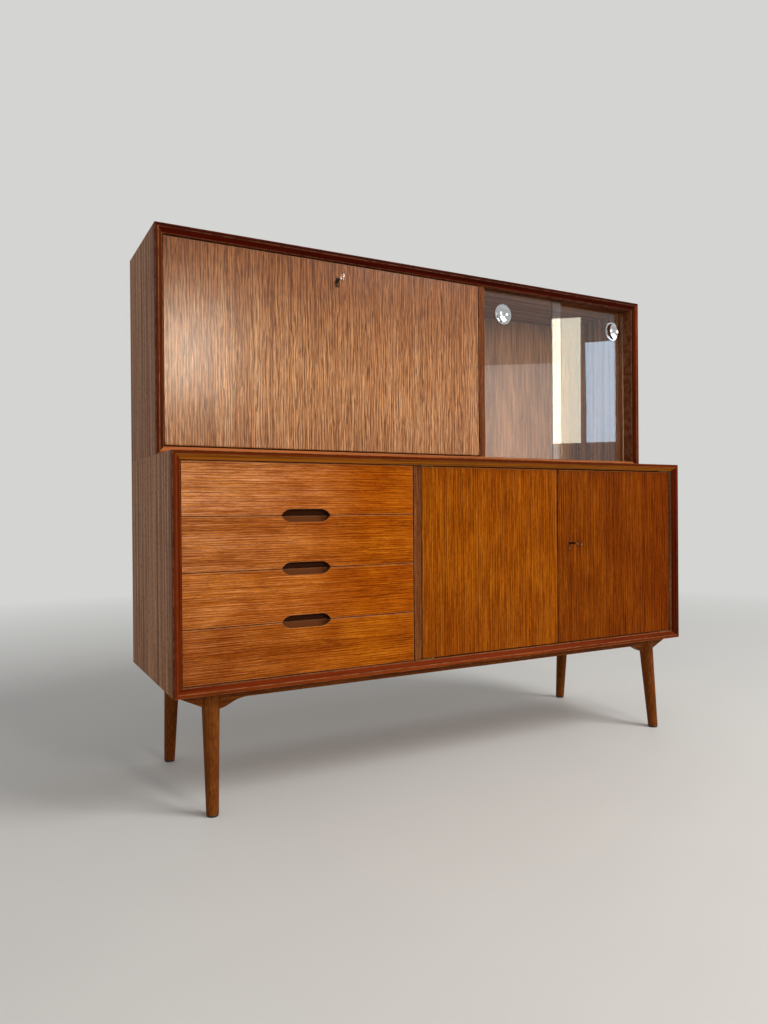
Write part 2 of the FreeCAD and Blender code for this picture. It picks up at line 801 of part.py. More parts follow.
# Keeper on the left door, and strike plate under the upper top
bolt_room = d.bolt_height / 2 + d.bolt_clear
keeper_end = left_door_x + door_width - d.lock_edge
door_back = fronts_y + d.front_thick
keeper_z = door_z + door_key_z
slot_depth = d.bolt_thick + 2 * d.bolt_clear
keeper_block = block("keeper_block", keeper_end - d.keeper_width, door_back, keeper_z - d.keeper_height / 2,
                     d.keeper_width, d.lock_depth + d.lock_wall, d.keeper_height)
keeper_slot = block("keeper_slot", keeper_end - d.bolt_throw, door_back + bolt_low - d.bolt_clear,
                    keeper_z - bolt_room, d.bolt_throw, slot_depth, 2 * bolt_room)
keep(cut("door_keeper", keeper_block, [keeper_slot]), "door_keeper")
strike_y = bolt_y + d.bolt_thick / 2 - d.strike_width / 2
strike_z = upper_ceiling - d.strike_thick
strike_block = block("strike_block", flap_middle - d.strike_length / 2, strike_y, strike_z,
                     d.strike_length, d.strike_width, d.strike_thick)
strike_slot = block("strike_slot", flap_middle - bolt_room, bolt_y - d.bolt_clear, strike_z,
                    2 * bolt_room, slot_depth, d.strike_thick)
keep(cut("flap_strike_plate", strike_block, [strike_slot]), "flap_strike_plate")

# Flap stays. The bracket's pin and the case's stud are equally far from the flap's axis, so each arm
# turns by half the flap's angle while the stud runs along its slot.
arm_pin_y = d.front_thick - d.pivot_inset + d.stay_stand
arm_pin_z = root(d.stay_reach * d.stay_reach - arm_pin_y * arm_pin_y)
stud_y = flap_pivot_y + arm_pin_y * cosine(d.stay_angle) + arm_pin_z * sine(d.stay_angle)
stud_z = flap_pivot_z + arm_pin_z * cosine(d.stay_angle) - arm_pin_y * sine(d.stay_angle)
arm_y = flap_pivot_y + arm_pin_y
arm_z = flap_pivot_z + arm_pin_z
closed_span = 2 * d.stay_reach * sine(d.stay_angle / 2)
open_span = 2 * d.stay_reach * sine((d.stay_angle + d.flap_swing) / 2)
slot_half = d.stud_radius + d.slot_clear
arm_rise = arm_pin_y / d.stay_reach
arm_lean = Size(math.degrees(math.asin(arm_rise.number)) + d.stay_angle.number / 2,
                f"asin({arm_rise.text}) + {d.stay_angle.text} / 2 * 1 deg")


def stay_arm(label, x):
    body = new_body(label)
    bar = sketch_on(body, "YZ")
    edge = d.stay_width / 2
    rounded(bar, -edge, -edge, open_span + slot_half + d.stay_end, edge, edge - d.slot_clear)
    pad(body, bar, d.stay_thick)
    slot = sketch_on(body, "YZ", d.stay_thick)
    rounded(slot, closed_span - slot_half, -slot_half, open_span + slot_half, slot_half, d.stud_radius)
    pocket(body, slot, d.stay_thick)
    eye = sketch_on(body, "YZ", d.stay_thick)
    circle(eye, 0, 0, d.pin_radius + d.pin_clear)
    pocket(body, eye, d.stay_thick)
    place(body, x, arm_y, arm_z)
    body.Placement.Rotation = Rotation(Vector(-1, 0, 0), arm_lean.number)
    bind(body, "Placement.Rotation.Angle", arm_lean)
    keep(body, label)


def stay_stud(name, x, turn):
    # A shouldered stud with a flat head, turned about its own axis.
    body = new_body(name)
    shoulder = d.stay_gap - d.slot_clear
    head = d.stay_gap + d.stay_thick + d.slot_clear
    profile = sketch_on(body, "XZ")
    outline(profile, [(0, 0), (d.stud_head, 0), (d.stud_head, shoulder), (d.stud_radius, shoulder),
                      (d.stud_radius, head), (d.stud_head, head), (d.stud_head, head + d.stud_cap),
                      (0, head + d.stud_cap)])
    revolve(body, profile, "V_Axis")
    return place(body, x, stud_y, stud_z, turn)


def stay_bracket(name, x, mirrored):
    # Drawn about the arm's pin, with the pin pointing along -X from an ear on the flap's back.
    body = new_body(name)
    inner = d.stay_thick + d.slot_clear
    foot = sketch_on(body, "XZ", d.stay_stand)
    rectangle(foot, inner, -d.bracket_length / 2, inner + d.stay_width, d.bracket_length / 2)
    pad(body, foot, d.bracket_plate, True)
    ear = sketch_on(body, "YZ", inner)
    reach = d.stay_width / 2
    outline(ear, [(-d.stay_stand, -d.bracket_length / 2), (0, -reach, reach, 1), (reach, 0, reach, 1),
                  (0, reach), (-d.stay_stand, d.bracket_length / 2)])
    pad(body, ear, d.bracket_ear)
    pin = sketch_on(body, "YZ")
    circle(pin, 0, 0, d.pin_radius)
    pad(body, pin, inner)
    thing = body
    if mirrored:
        thing = doc.addObject("Part::Mirroring", f"{name}_mirrored")
        thing.Source = body
        thing.Normal = Vector(1, 0, 0)
    return place(thing, x, arm_y, arm_z)


left_arm_x = left_inside + d.stay_gap
right_arm_x = upper_divider_x - d.stay_gap
stay_arm("left_stay_arm", left_arm_x)
stay_arm("right_stay_arm", right_arm_x - d.stay_thick)
keep(group("stay_studs", [stay_stud("left_stud", left_inside, "facing right"),
                          stay_stud("right_stud", upper_divider_x, "facing left")]), "stay_studs")
keep(group("stay_brackets", [stay_bracket("left_bracket", left_arm_x, False),
                             stay_bracket("right_bracket", right_arm_x, True)]), "stay_brackets")

# Sliding glass with round dished pulls
pane_width = (d.narrow_bay - 2 * d.pane_side_clear + d.pane_overlap) / 2
pane_z = upper_floor - d.bottom_groove + d.running_clear
pane_height = upper_ceiling + d.pane_hold - pane_z
disc_z = upper_ceiling - d.disc_drop


def glass_pane(side, x, y, disc_x):
    sheet_glass = block(f"{side}_sheet", x, y, pane_z, pane_width, d.glass, pane_height)
    hole = doc.addObject("Part::Cylinder", f"{side}_hole")
    bind(hole, "Radius", d.cup_radius + d.seat_clear)
    bind(hole, "Height", d.glass)
    place(hole, disc_x, y + d.glass, disc_z)
    hole.Placement.Rotation = Rotation(Vector(1, 0, 0), 90)
    keep(cut(f"{side}_glass_pane", sheet_glass, [hole]), f"{side}_glass_pane")
    body = new_body(f"{side}_glass_pull")
    profile = sketch_on(body, "XY")
    sphere = (d.dish_radius * d.dish_radius + d.dish_depth * d.dish_depth) / (2 * d.dish_depth)
    back_of_cup = d.glass + d.cup_back
    outline(profile, [
        (d.dish_radius, -d.disc_flange, sphere, 1), (0, d.dish_depth - d.disc_flange), (0, back_of_cup),
        (d.cup_radius, back_of_cup), (d.cup_radius, 0), (d.disc_radius, 0), (d.disc_radius, -d.disc_flange)])
    revolve(body, profile, "V_Axis")
    keep(place(body, disc_x, y, disc_z), f"{side}_glass_pull")


left_pane_x = glass_bay_x + d.pane_side_clear
right_pane_x = right_inside - d.pane_side_clear - pane_width
glass_pane("left", left_pane_x, upper_front + d.front_track, left_pane_x + d.left_disc_inset)
glass_pane("right", right_pane_x, upper_front + d.front_track + d.track_pitch,
           right_pane_x + pane_width - d.right_disc_inset)

# Leg base: turned legs set at a slant and sawn level, on glides, and rails with haunches at the legs
leg_height = d.floor_gap - d.glide_height
leg_axis = root(d.leg_lean_side * d.leg_lean_side + d.leg_lean_face * d.leg_lean_face
                + leg_height * leg_height)
upright = leg_height / leg_axis
leg_slant = Size(math.degrees(math.acos(upright.number)), f"acos({upright.text})")
trim_share = d.leg_trim / leg_axis
trim_taper = (d.leg_top_radius - d.foot_radius) * trim_share
sawn_space = block("sawn_space", -d.case_width, -d.case_width, d.glide_height,
                   2 * d.case_width, 2 * d.case_width, leg_height)
legs = {}
glides = []
for end, sideways in (("front", 1), ("back", -1)):
    for side, across in (("left", 1), ("right", -1)):
        name = f"{end}_{side}_leg"
        foot_x = across * (d.foot_from_side - half)
        foot_y = front + d.foot_from_face if end == "front" else back - d.foot_from_face
        lean_x = across * d.leg_lean_side
        lean_y = sideways * d.leg_lean_face
        turning = doc.addObject("Part::Cone", f"{name}_turning")
        bind(turning, "Radius1", d.foot_radius - trim_taper)
        bind(turning, "Radius2", d.leg_top_radius + trim_taper)
        bind(turning, "Height", leg_axis + 2 * d.leg_trim)
        place(turning, foot_x - lean_x * trim_share, foot_y - lean_y * trim_share,
              d.glide_height - leg_height * trim_share)
        turning.Placement.Rotation = Rotation(Vector(-lean_y.number, lean_x.number, 0), leg_slant.number)
        bind(turning, "Placement.Rotation.Axis.x", -lean_y)
        bind(turning, "Placement.Rotation.Axis.y", lean_x)
        bind(turning, "Placement.Rotation.Angle", leg_slant)
        leg = doc.addObject("Part::Common", name)
        leg.Base = turning
        leg.Tool = sawn_space
        legs[end, side] = keep(leg, name)
        glides.append(rod("glide", foot_x, foot_y, 0, d.foot_radius - d.glide_inset,
                          d.glide_height, "as drawn"))
keep(group("foot_glides", glides), "foot_glides")

leg_x = d.foot_from_side + d.leg_lean_side
haunch_rise = d.haunch_drop - d.rail_height
haunch_bend = (d.haunch_run * d.haunch_run + haunch_rise * haunch_rise) / (4 * haunch_rise)


def rail_bar(name, corners, y):
    body = new_body(name)
    face = sketch_on(body, "XZ")
    outline(face, corners)
    pad(body, face, d.rail_thick, True)
    return place(body, -half, y, lower_z)


def rail_and_wings(end, y):
    # Drawn from the left end of the case, with z = 0 under it. Each haunch is an ogee of two equal arcs.
    far = d.case_width - leg_x
    middle_drop = (d.haunch_drop + d.rail_height) / 2
    both = [legs[end, "left"], legs[end, "right"]]
    rail = rail_bar(f"{end}_rail_blank", [
        (leg_x, 0), (leg_x, -d.haunch_drop, haunch_bend, 1),
        (leg_x + d.haunch_run / 2, -middle_drop, haunch_bend, -1), (leg_x + d.haunch_run, -d.rail_height),
        (far - d.haunch_run, -d.rail_height, haunch_bend, -1),
        (far - d.haunch_run / 2, -middle_drop, haunch_bend, 1), (far, -d.haunch_drop), (far, 0)], y)
    keep(cut(f"{end}_base_rail", rail, both), f"{end}_base_rail")
    wing_end = d.case_width - d.wing_margin
    left = rail_bar(f"{end}_left_wing_blank", [(d.wing_margin, 0), (leg_x, -d.haunch_drop), (leg_x, 0)], y)
    right = rail_bar(f"{end}_right_wing_blank", [(wing_end, 0), (far, 0), (far, -d.haunch_drop)], y)
    return [cut(f"{end}_left_wing", left, both[:1]), cut(f"{end}_right_wing", right, both[1:])]


wings = rail_and_wings("front", front + d.rail_setback)
wings += rail_and_wings("back", back - d.rail_setback - d.rail_thick)
keep(group("rail_wings", wings), "rail_wings")
cross_rails = []
for side, across in (("left", 1), ("right", -1)):
    inset = d.rail_setback + d.rail_thick
    blank = block(f"{side}_cross_blank", across * (leg_x - half) - d.rail_thick / 2, front + inset,
                  lower_z - d.rail_height, d.rail_thick, d.lower_depth - 2 * inset, d.rail_height)
    cross_rails.append(cut(f"{side}_cross_rail", blank, [legs["front", side], legs["back", side]]))
keep(group("cross_rails", cross_rails), "cross_rails")

# Checks before anything is written
doc.recompute()
faults = [thing.Name for thing in doc.Objects if {"Invalid", "Error"} & set(thing.State)]
faults += [thing.Label for thing in nodes if thing.Shape.isNull() or not thing.Shape.isValid()]
if faults:
    raise ValueError(f"pieces that failed: {faults}")
os.makedirs("parts", exist_ok=True)
for thing in nodes:
    thing.Shape.exportStep(f"parts/{thing.Label}.step")
    box = thing.Shape.BoundBox
    extents = f"{box.XLength:.1f} x {box.YLength:.1f} x {box.ZLength:.1f}"
    print(f"{thing.Label}: {len(thing.Shape.Solids)} solids, {extents}")
print(f"{len(nodes)} pieces written")
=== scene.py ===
import math
import bpy
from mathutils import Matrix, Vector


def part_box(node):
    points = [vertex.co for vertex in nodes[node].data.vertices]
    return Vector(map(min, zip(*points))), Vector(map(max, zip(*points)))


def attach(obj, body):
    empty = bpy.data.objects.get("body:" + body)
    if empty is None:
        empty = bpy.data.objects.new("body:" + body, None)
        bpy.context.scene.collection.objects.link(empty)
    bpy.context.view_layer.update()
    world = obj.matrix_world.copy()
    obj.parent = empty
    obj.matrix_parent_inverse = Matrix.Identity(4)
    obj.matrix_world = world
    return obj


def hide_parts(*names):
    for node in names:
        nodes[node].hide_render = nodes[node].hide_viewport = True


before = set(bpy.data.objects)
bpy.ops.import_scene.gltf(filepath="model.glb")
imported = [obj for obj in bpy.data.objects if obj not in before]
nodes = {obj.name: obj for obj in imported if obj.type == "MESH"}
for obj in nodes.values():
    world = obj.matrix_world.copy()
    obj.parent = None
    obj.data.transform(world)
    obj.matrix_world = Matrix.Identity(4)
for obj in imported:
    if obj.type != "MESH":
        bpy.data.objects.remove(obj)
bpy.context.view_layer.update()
scene = bpy.context.scene
scene.view_settings.view_transform = "Standard"


class Value:                      # a socket; sums on it add Math nodes
    def __init__(self, recipe, socket):
        self.recipe = recipe
        self.socket = socket

    def sum(self, operation, first, second=0.0):
        return self.recipe.node("ShaderNodeMath", {"operation": operation}, {0: first, 1: second})

    def __add__(self, other):
        return self.sum("ADD", self, other)

    def __radd__(self, other):
        return self.sum("ADD", other, self)

    def __sub__(self, other):
        return self.sum("SUBTRACT", self, other)

    def __rsub__(self, other):
        return self.sum("SUBTRACT", other, self)

    def __mul__(self, other):
        return self.sum("MULTIPLY", self, other)

    def __rmul__(self, other):
        return self.sum("MULTIPLY", other, self)

    def __truediv__(self, other):
        return self.sum("DIVIDE", self, other)

    def __lt__(self, other):
        return self.sum("LESS_THAN", self, other)

    def __gt__(self, other):
        return self.sum("GREATER_THAN", self, other)

    def __abs__(self):
        return self.sum("ABSOLUTE", self)

    def least(self, other):
        return self.sum("MINIMUM", self, other)

    def most(self, other):
        return self.sum("MAXIMUM", self, other)

    def through(self, operation):     # a Math node with one input, such as SINE
        return self.sum(operation, self)

    def rise(self, start, end):       # 0 up to start, 1 from end on
        return self.recipe.node("ShaderNodeMapRange", {"clamp": True},
                                {0: self, 1: start, 2: end, 3: 0.0, 4: 1.0})

    def twin(self, output):           # another output of the same node
        return Value(self.recipe, self.socket.node.outputs[output])


class Recipe:                         # a finish, or the studio's world, as a node tree
    def __init__(self, owner):
        self.owner = owner
        owner.use_nodes = True
        self.tree = owner.node_tree
        self.tree.nodes.clear()

    def node(self, kind, settings, sockets, output=0):
        made = self.tree.nodes.new(kind)
        for key, value in settings.items():
            if key == "stops":
                ramp = made.color_ramp.elements
                while len(ramp) < len(value):
                    ramp.new(0.5)
                for stop, (position, colour) in zip(ramp, value):
                    stop.position = position
                    stop.color = (*colour, 1.0)
            else:
                setattr(made, key, value)
        for key, value in sockets.items():
            if isinstance(value, Value):
                self.tree.links.new(value.socket, made.inputs[key])
            elif made.inputs[key].type == "RGBA" and len(value) == 3:
                made.inputs[key].default_value = (*value, 1.0)
            else:
                made.inputs[key].default_value = value
        return Value(self, made.outputs[output] if made.outputs else None)

    def mix(self, share, first, second, how="MIX"):
        return self.node("ShaderNodeMix", {"data_type": "RGBA", "blend_type": how},
                         {0: share, 6: first, 7: second}, 2)

    def ramp(self, share, positions, colours):
        return self.node("ShaderNodeValToRGB", {"stops": list(zip(positions, colours))}, {0: share})

    def noise(self, place, scale, stretch=(1, 1, 1), shift=(0, 0, 0), detail=2.0, rough=0.5):
        laid = self.node("ShaderNodeMapping", {}, {"Vector": place, "Location": shift, "Scale": stretch})
        return self.node("ShaderNodeTexNoise", {},
                         {"Vector": laid, "Scale": scale, "Detail": detail, "Roughness": rough})

    def place(self):
        return self.node("ShaderNodeTexCoord", {}, {}, "Object")

    def axes(self, place):            # the three coordinates of a place
        x = self.node("ShaderNodeSeparateXYZ", {}, {0: place}, "X")
        return {"X": x, "Y": x.twin("Y"), "Z": x.twin("Z")}

    def seenRays(self):               # 1 for rays that show the backdrop, 0 for those that light the part
        ray = self.node("ShaderNodeLightPath", {}, {}, "Is Camera Ray")
        return ray.most(ray.twin("Is Glossy Ray")).most(ray.twin("Is Transmission Ray"))

    def bump(self, strength, distance, height, arris=None):
        sockets = {"Strength": strength, "Distance": distance, "Height": height}
        if arris is not None:         # arrises catch the light as if eased by this radius
            sockets["Normal"] = self.node("ShaderNodeBevel", {"samples": 4}, {"Radius": arris})
        return self.node("ShaderNodeBump", {}, sockets)

    def surface(self, **sockets):
        named = {key.replace("_", " "): value for key, value in sockets.items()}
        shader = self.node("ShaderNodeBsdfPrincipled", {}, named)
        self.node("ShaderNodeOutputMaterial", {}, {"Surface": shader})
        return self.owner


def finish(name):
    return Recipe(bpy.data.materials.new(name))


def dress(node, material):
    for slot in nodes[node].material_slots:
        slot.material = material


# Camera: low, left of the middle, turned to the right
cameraStand = {"at": (-1.1065, -1.7829, 0.6532), "turn": (89.799, 0.430, -28.466),
               "lens": 26.5, "sensor": 36.0}
bpy.ops.object.camera_add(location=cameraStand["at"], rotation=[math.radians(a) for a in cameraStand["turn"]])
camera = bpy.context.object
camera.data.lens = cameraStand["lens"]
camera.data.sensor_width = cameraStand["sensor"]
scene.camera = camera
print("camera placed")

# Studio: a pale floor that fades into a pale backdrop, a soft key from the front right, a sheen panel for the
# flap, and two strips and a panel that the panes reflect
studio = {
    "backdrop": (0.66, 0.66, 0.645), "zenith": (0.34, 0.35, 0.36), "zenithFrom": 0.62, "fill": 0.42,
    "floor": (0.70, 0.695, 0.675), "floorShade": 0.97, "floorRadius": 9.0, "floorSides": 96,
    "cloudScale": 3.0, "gritScale": 240.0, "cloudShare": 0.7, "gritShare": 0.3, "mottle": (0.3, 0.7),
    "floorRough": 0.6, "floorSpecular": 0.2, "fadeFrom": 1.5, "fadeTo": 4.4,
    "lamps": {
        "key": {"at": (2.2, -2.8, 3.6), "aim": (0.1, 0.0, 0.6), "size": (2.0, 2.0),
                "power": 132, "warm": (1.0, 0.985, 0.96)},
        "sheen": {"at": (0.16, -3.5, 1.74), "aim": (-0.6, 0.0, 1.0), "size": (0.42, 0.58),
                  "power": 23, "warm": (1.0, 0.89, 0.74)},
        "creamStrip": {"at": (3.45, -3.3, 1.76), "aim": (0.5, 0.0, 1.0), "size": (0.26, 1.08),
                       "power": 5.2, "warm": (1.0, 0.93, 0.74)},
        "skyStrip": {"at": (3.91, -3.3, 1.70), "aim": (0.5, 0.0, 1.0), "size": (0.32, 0.90),
                     "power": 4.6, "warm": (0.62, 0.80, 1.0)},
        "greyPanel": {"at": (2.86, -3.3, 1.45), "aim": (0.5, 0.0, 1.0), "size": (0.75, 0.80),
                      "power": 2.0, "warm": (1.0, 1.0, 1.0)},
    },
}
world = Recipe(bpy.data.worlds.new("studio"))
scene.world = world.owner
upward = world.axes(world.node("ShaderNodeTexCoord", {}, {}, "Generated"))["Z"]
sky = world.mix(upward.rise(studio["zenithFrom"], 1.0), studio["backdrop"], studio["zenith"])
shown = world.node("ShaderNodeBackground", {}, {"Color": sky, "Strength": 1.0})
fill = world.node("ShaderNodeBackground", {}, {"Color": (1.0, 1.0, 1.0), "Strength": studio["fill"]})
both = world.node("ShaderNodeMixShader", {}, {0: world.seenRays(), 1: fill, 2: shown})
world.node("ShaderNodeOutputWorld", {}, {"Surface": both})

bpy.ops.object.select_all(action="DESELECT")
bpy.ops.mesh.primitive_circle_add(vertices=studio["floorSides"], radius=studio["floorRadius"],
                                  fill_type="NGON")
floor = bpy.context.object
floor.name = "floor"
pale = finish("paleFloor")
spot = pale.place()
cloud = pale.noise(spot, studio["cloudScale"], detail=3.0)
grit = pale.noise(spot, studio["gritScale"], detail=2.0)
mottle = (cloud * studio["cloudShare"] + grit * studio["gritShare"]).rise(*studio["mottle"])
tone = pale.mix(mottle, [c * studio["floorShade"] for c in studio["floor"]], studio["floor"])
matt = pale.node("ShaderNodeBsdfPrincipled", {}, {"Base Color": tone, "Roughness": studio["floorRough"],
                                                  "Specular IOR Level": studio["floorSpecular"]})
glow = pale.node("ShaderNodeEmission", {}, {"Color": studio["backdrop"], "Strength": 1.0})
out = pale.node("ShaderNodeVectorMath", {"operation": "LENGTH"}, {0: spot}, "Value")
fade = out.rise(studio["fadeFrom"], studio["fadeTo"]) * pale.seenRays()
faded = pale.node("ShaderNodeMixShader", {}, {0: fade, 1: matt, 2: glow})
pale.node("ShaderNodeOutputMaterial", {}, {"Surface": faded})
floor.data.materials.append(pale.owner)

for name, lamp in studio["lamps"].items():
    bpy.ops.object.light_add(type="AREA", location=lamp["at"])
    light = bpy.context.object
    light.name = name
    light.data.shape = "RECTANGLE"
    light.data.size, light.data.size_y = lamp["size"]
    light.data.energy = lamp["power"]
    light.data.color = lamp["warm"]
    light.visible_camera = False
    aim = [b - a for a, b in zip(lamp["at"], lamp["aim"])]
    level = math.hypot(aim[0], aim[1])
    light.rotation_euler = (math.pi / 2 + math.atan2(aim[2], level), 0, math.atan2(-aim[0], aim[1]))
print("studio set:", len(studio["lamps"]), "lamps")


# Teak: long bands, streaks, fine lines, pale flecks and short dark pores along one axis
teakGrain = {
    "along": "Z", "across": None, "shift": (0.0, 0.0, 0.0), "wander": 0.004, "wanderScale": 2.4,
    "dark": (0.20, 0.070, 0.022), "mid": (0.32, 0.125, 0.045), "light": (0.44, 0.205, 0.088),
    "pore": (0.095, 0.030, 0.010), "stops": (0.14, 0.5, 0.86),
    # each layer: its scale, how it is stretched along the grain, its share
    "bands": (70.0, 0.012, 0.9), "streaks": (560.0, 0.016, 1.9), "lines": (1000.0, 0.025, 1.7),
    "pores": (800.0, 0.10, 0.75), "vessels": (1700.0, 0.07, 0.45), "flecks": 0.30,
    "poreFrom": 0.55, "poreTo": 0.63, "fleckTo": 0.67, "poresInDark": 1.4, "poresInLight": 0.6, "ribs": [],
    "tint": (1.0, 1.0, 1.0), "blush": 2.6, "blushTint": (0.90, 0.84, 0.78), "blushSpread": (0.35, 0.65),
    "rough": 0.44, "roughSpread": 0.16, "specular": 0.06, "coat": 0.0, "coatRough": 0.24,
    # the arrises paler, from rubbing and as a painted highlight where they catch the light
    "edgeWearAndGlint": 0.30, "wearAndGlintWidth": 0.0020, "wearAndGlintColour": (0.50, 0.25, 0.12), "arris": 0.0007,
    "rubScale": 60.0, "rubSpread": (0.40, 0.60), "smearScale": 14.0, "smearShare": 0.12,
    "relief": 0.25, "reliefDepth": 0.0002,
    # fade: painted light towards one end; edge colour: a dark solid edge with painted shade in the gaps
    # between fronts
    "fade": None, "lip": None, "edgeDepth": None, "edgeStainAndShade": (0.055, 0.017, 0.005),
    "recess": False, "crest": 0.0,
}
ribForm = {"swayScale": 60.0, "runScale": 700.0, "broken": (0.36, 0.58), "step": (1.7, 1.7, 1.7)}
lipForm = {"depth": 0.0111, "innerFace": 0.0165, "ridge": 0.0080, "innerRidge": 0.0186, "blend": 0.0003,
           "ridgeSpread": (0.0003, 0.0013), "tone": (0.55, 0.9), "rubbedGlint": (0.35, 0.65)}
edgeForm = {"inset": 0.0010, "blend": 0.0006, "share": 0.9}
# finger recess: painted shade inside, darkest in the upper half, and a painted highlight on the rim
recessForm = {"reach": 0.0615, "blend": (0.0004, 0.0022), "share": 0.95, "upper": (0.048, 0.015, 0.007),
              "lower": (0.170, 0.054, 0.018), "rim": 0.0016, "rimSpread": (0.86, 0.985), "rubbedGlint": 0.6}
crestForm = {"from": 0.0030, "to": 0.0012, "rubbedGlint": (0.55, 0.45)}
poreForm = {"dull": 0.7, "rough": 0.14, "deep": 0.8}
reliefForm = {"lines": 0.35, "streaks": 0.25, "wornSmooth": 0.08}


def stretched(along, amount):
    return tuple(amount if axis == along else 1.0 for axis in "XYZ")


def strewn(number, step, start=(0.0, 0.0, 0.0)):      # each board comes from another place in the grain
    return [first + each * number for first, each in zip(start, step)]


def edgeShare(at, low, high, width):          # 1 on the arrises of a board, 0 away from them
    gaps = [(at[axis] - low[i]).least(high[i] - at[axis]) for i, axis in enumerate("XYZ")]
    lesser, greater = gaps[0].least(gaps[1]), gaps[0].most(gaps[1])
    middle = lesser.most(greater.least(gaps[2]))
    return 1.0 - middle.rise(0.0, width)


def ribLines(wood, look, bent, across, ribs, number):     # dark growth lines at a nearly even pitch, broken
    shift = strewn(number, ribForm["step"], look["shift"])
    sway = wood.noise(bent, ribForm["swayScale"], stretched(look["along"], ribs["bow"]), shift, 2.0)
    turn = (across + (sway - 0.5) * ribs["sway"]) * (math.tau / ribs["pitch"])
    broken = wood.noise(bent, ribForm["runScale"], stretched(look["along"], ribs["run"]), shift, 2.0)
    return turn.through("SINE").rise(*ribs["edge"]) * broken.rise(*ribForm["broken"]) * ribs["share"]


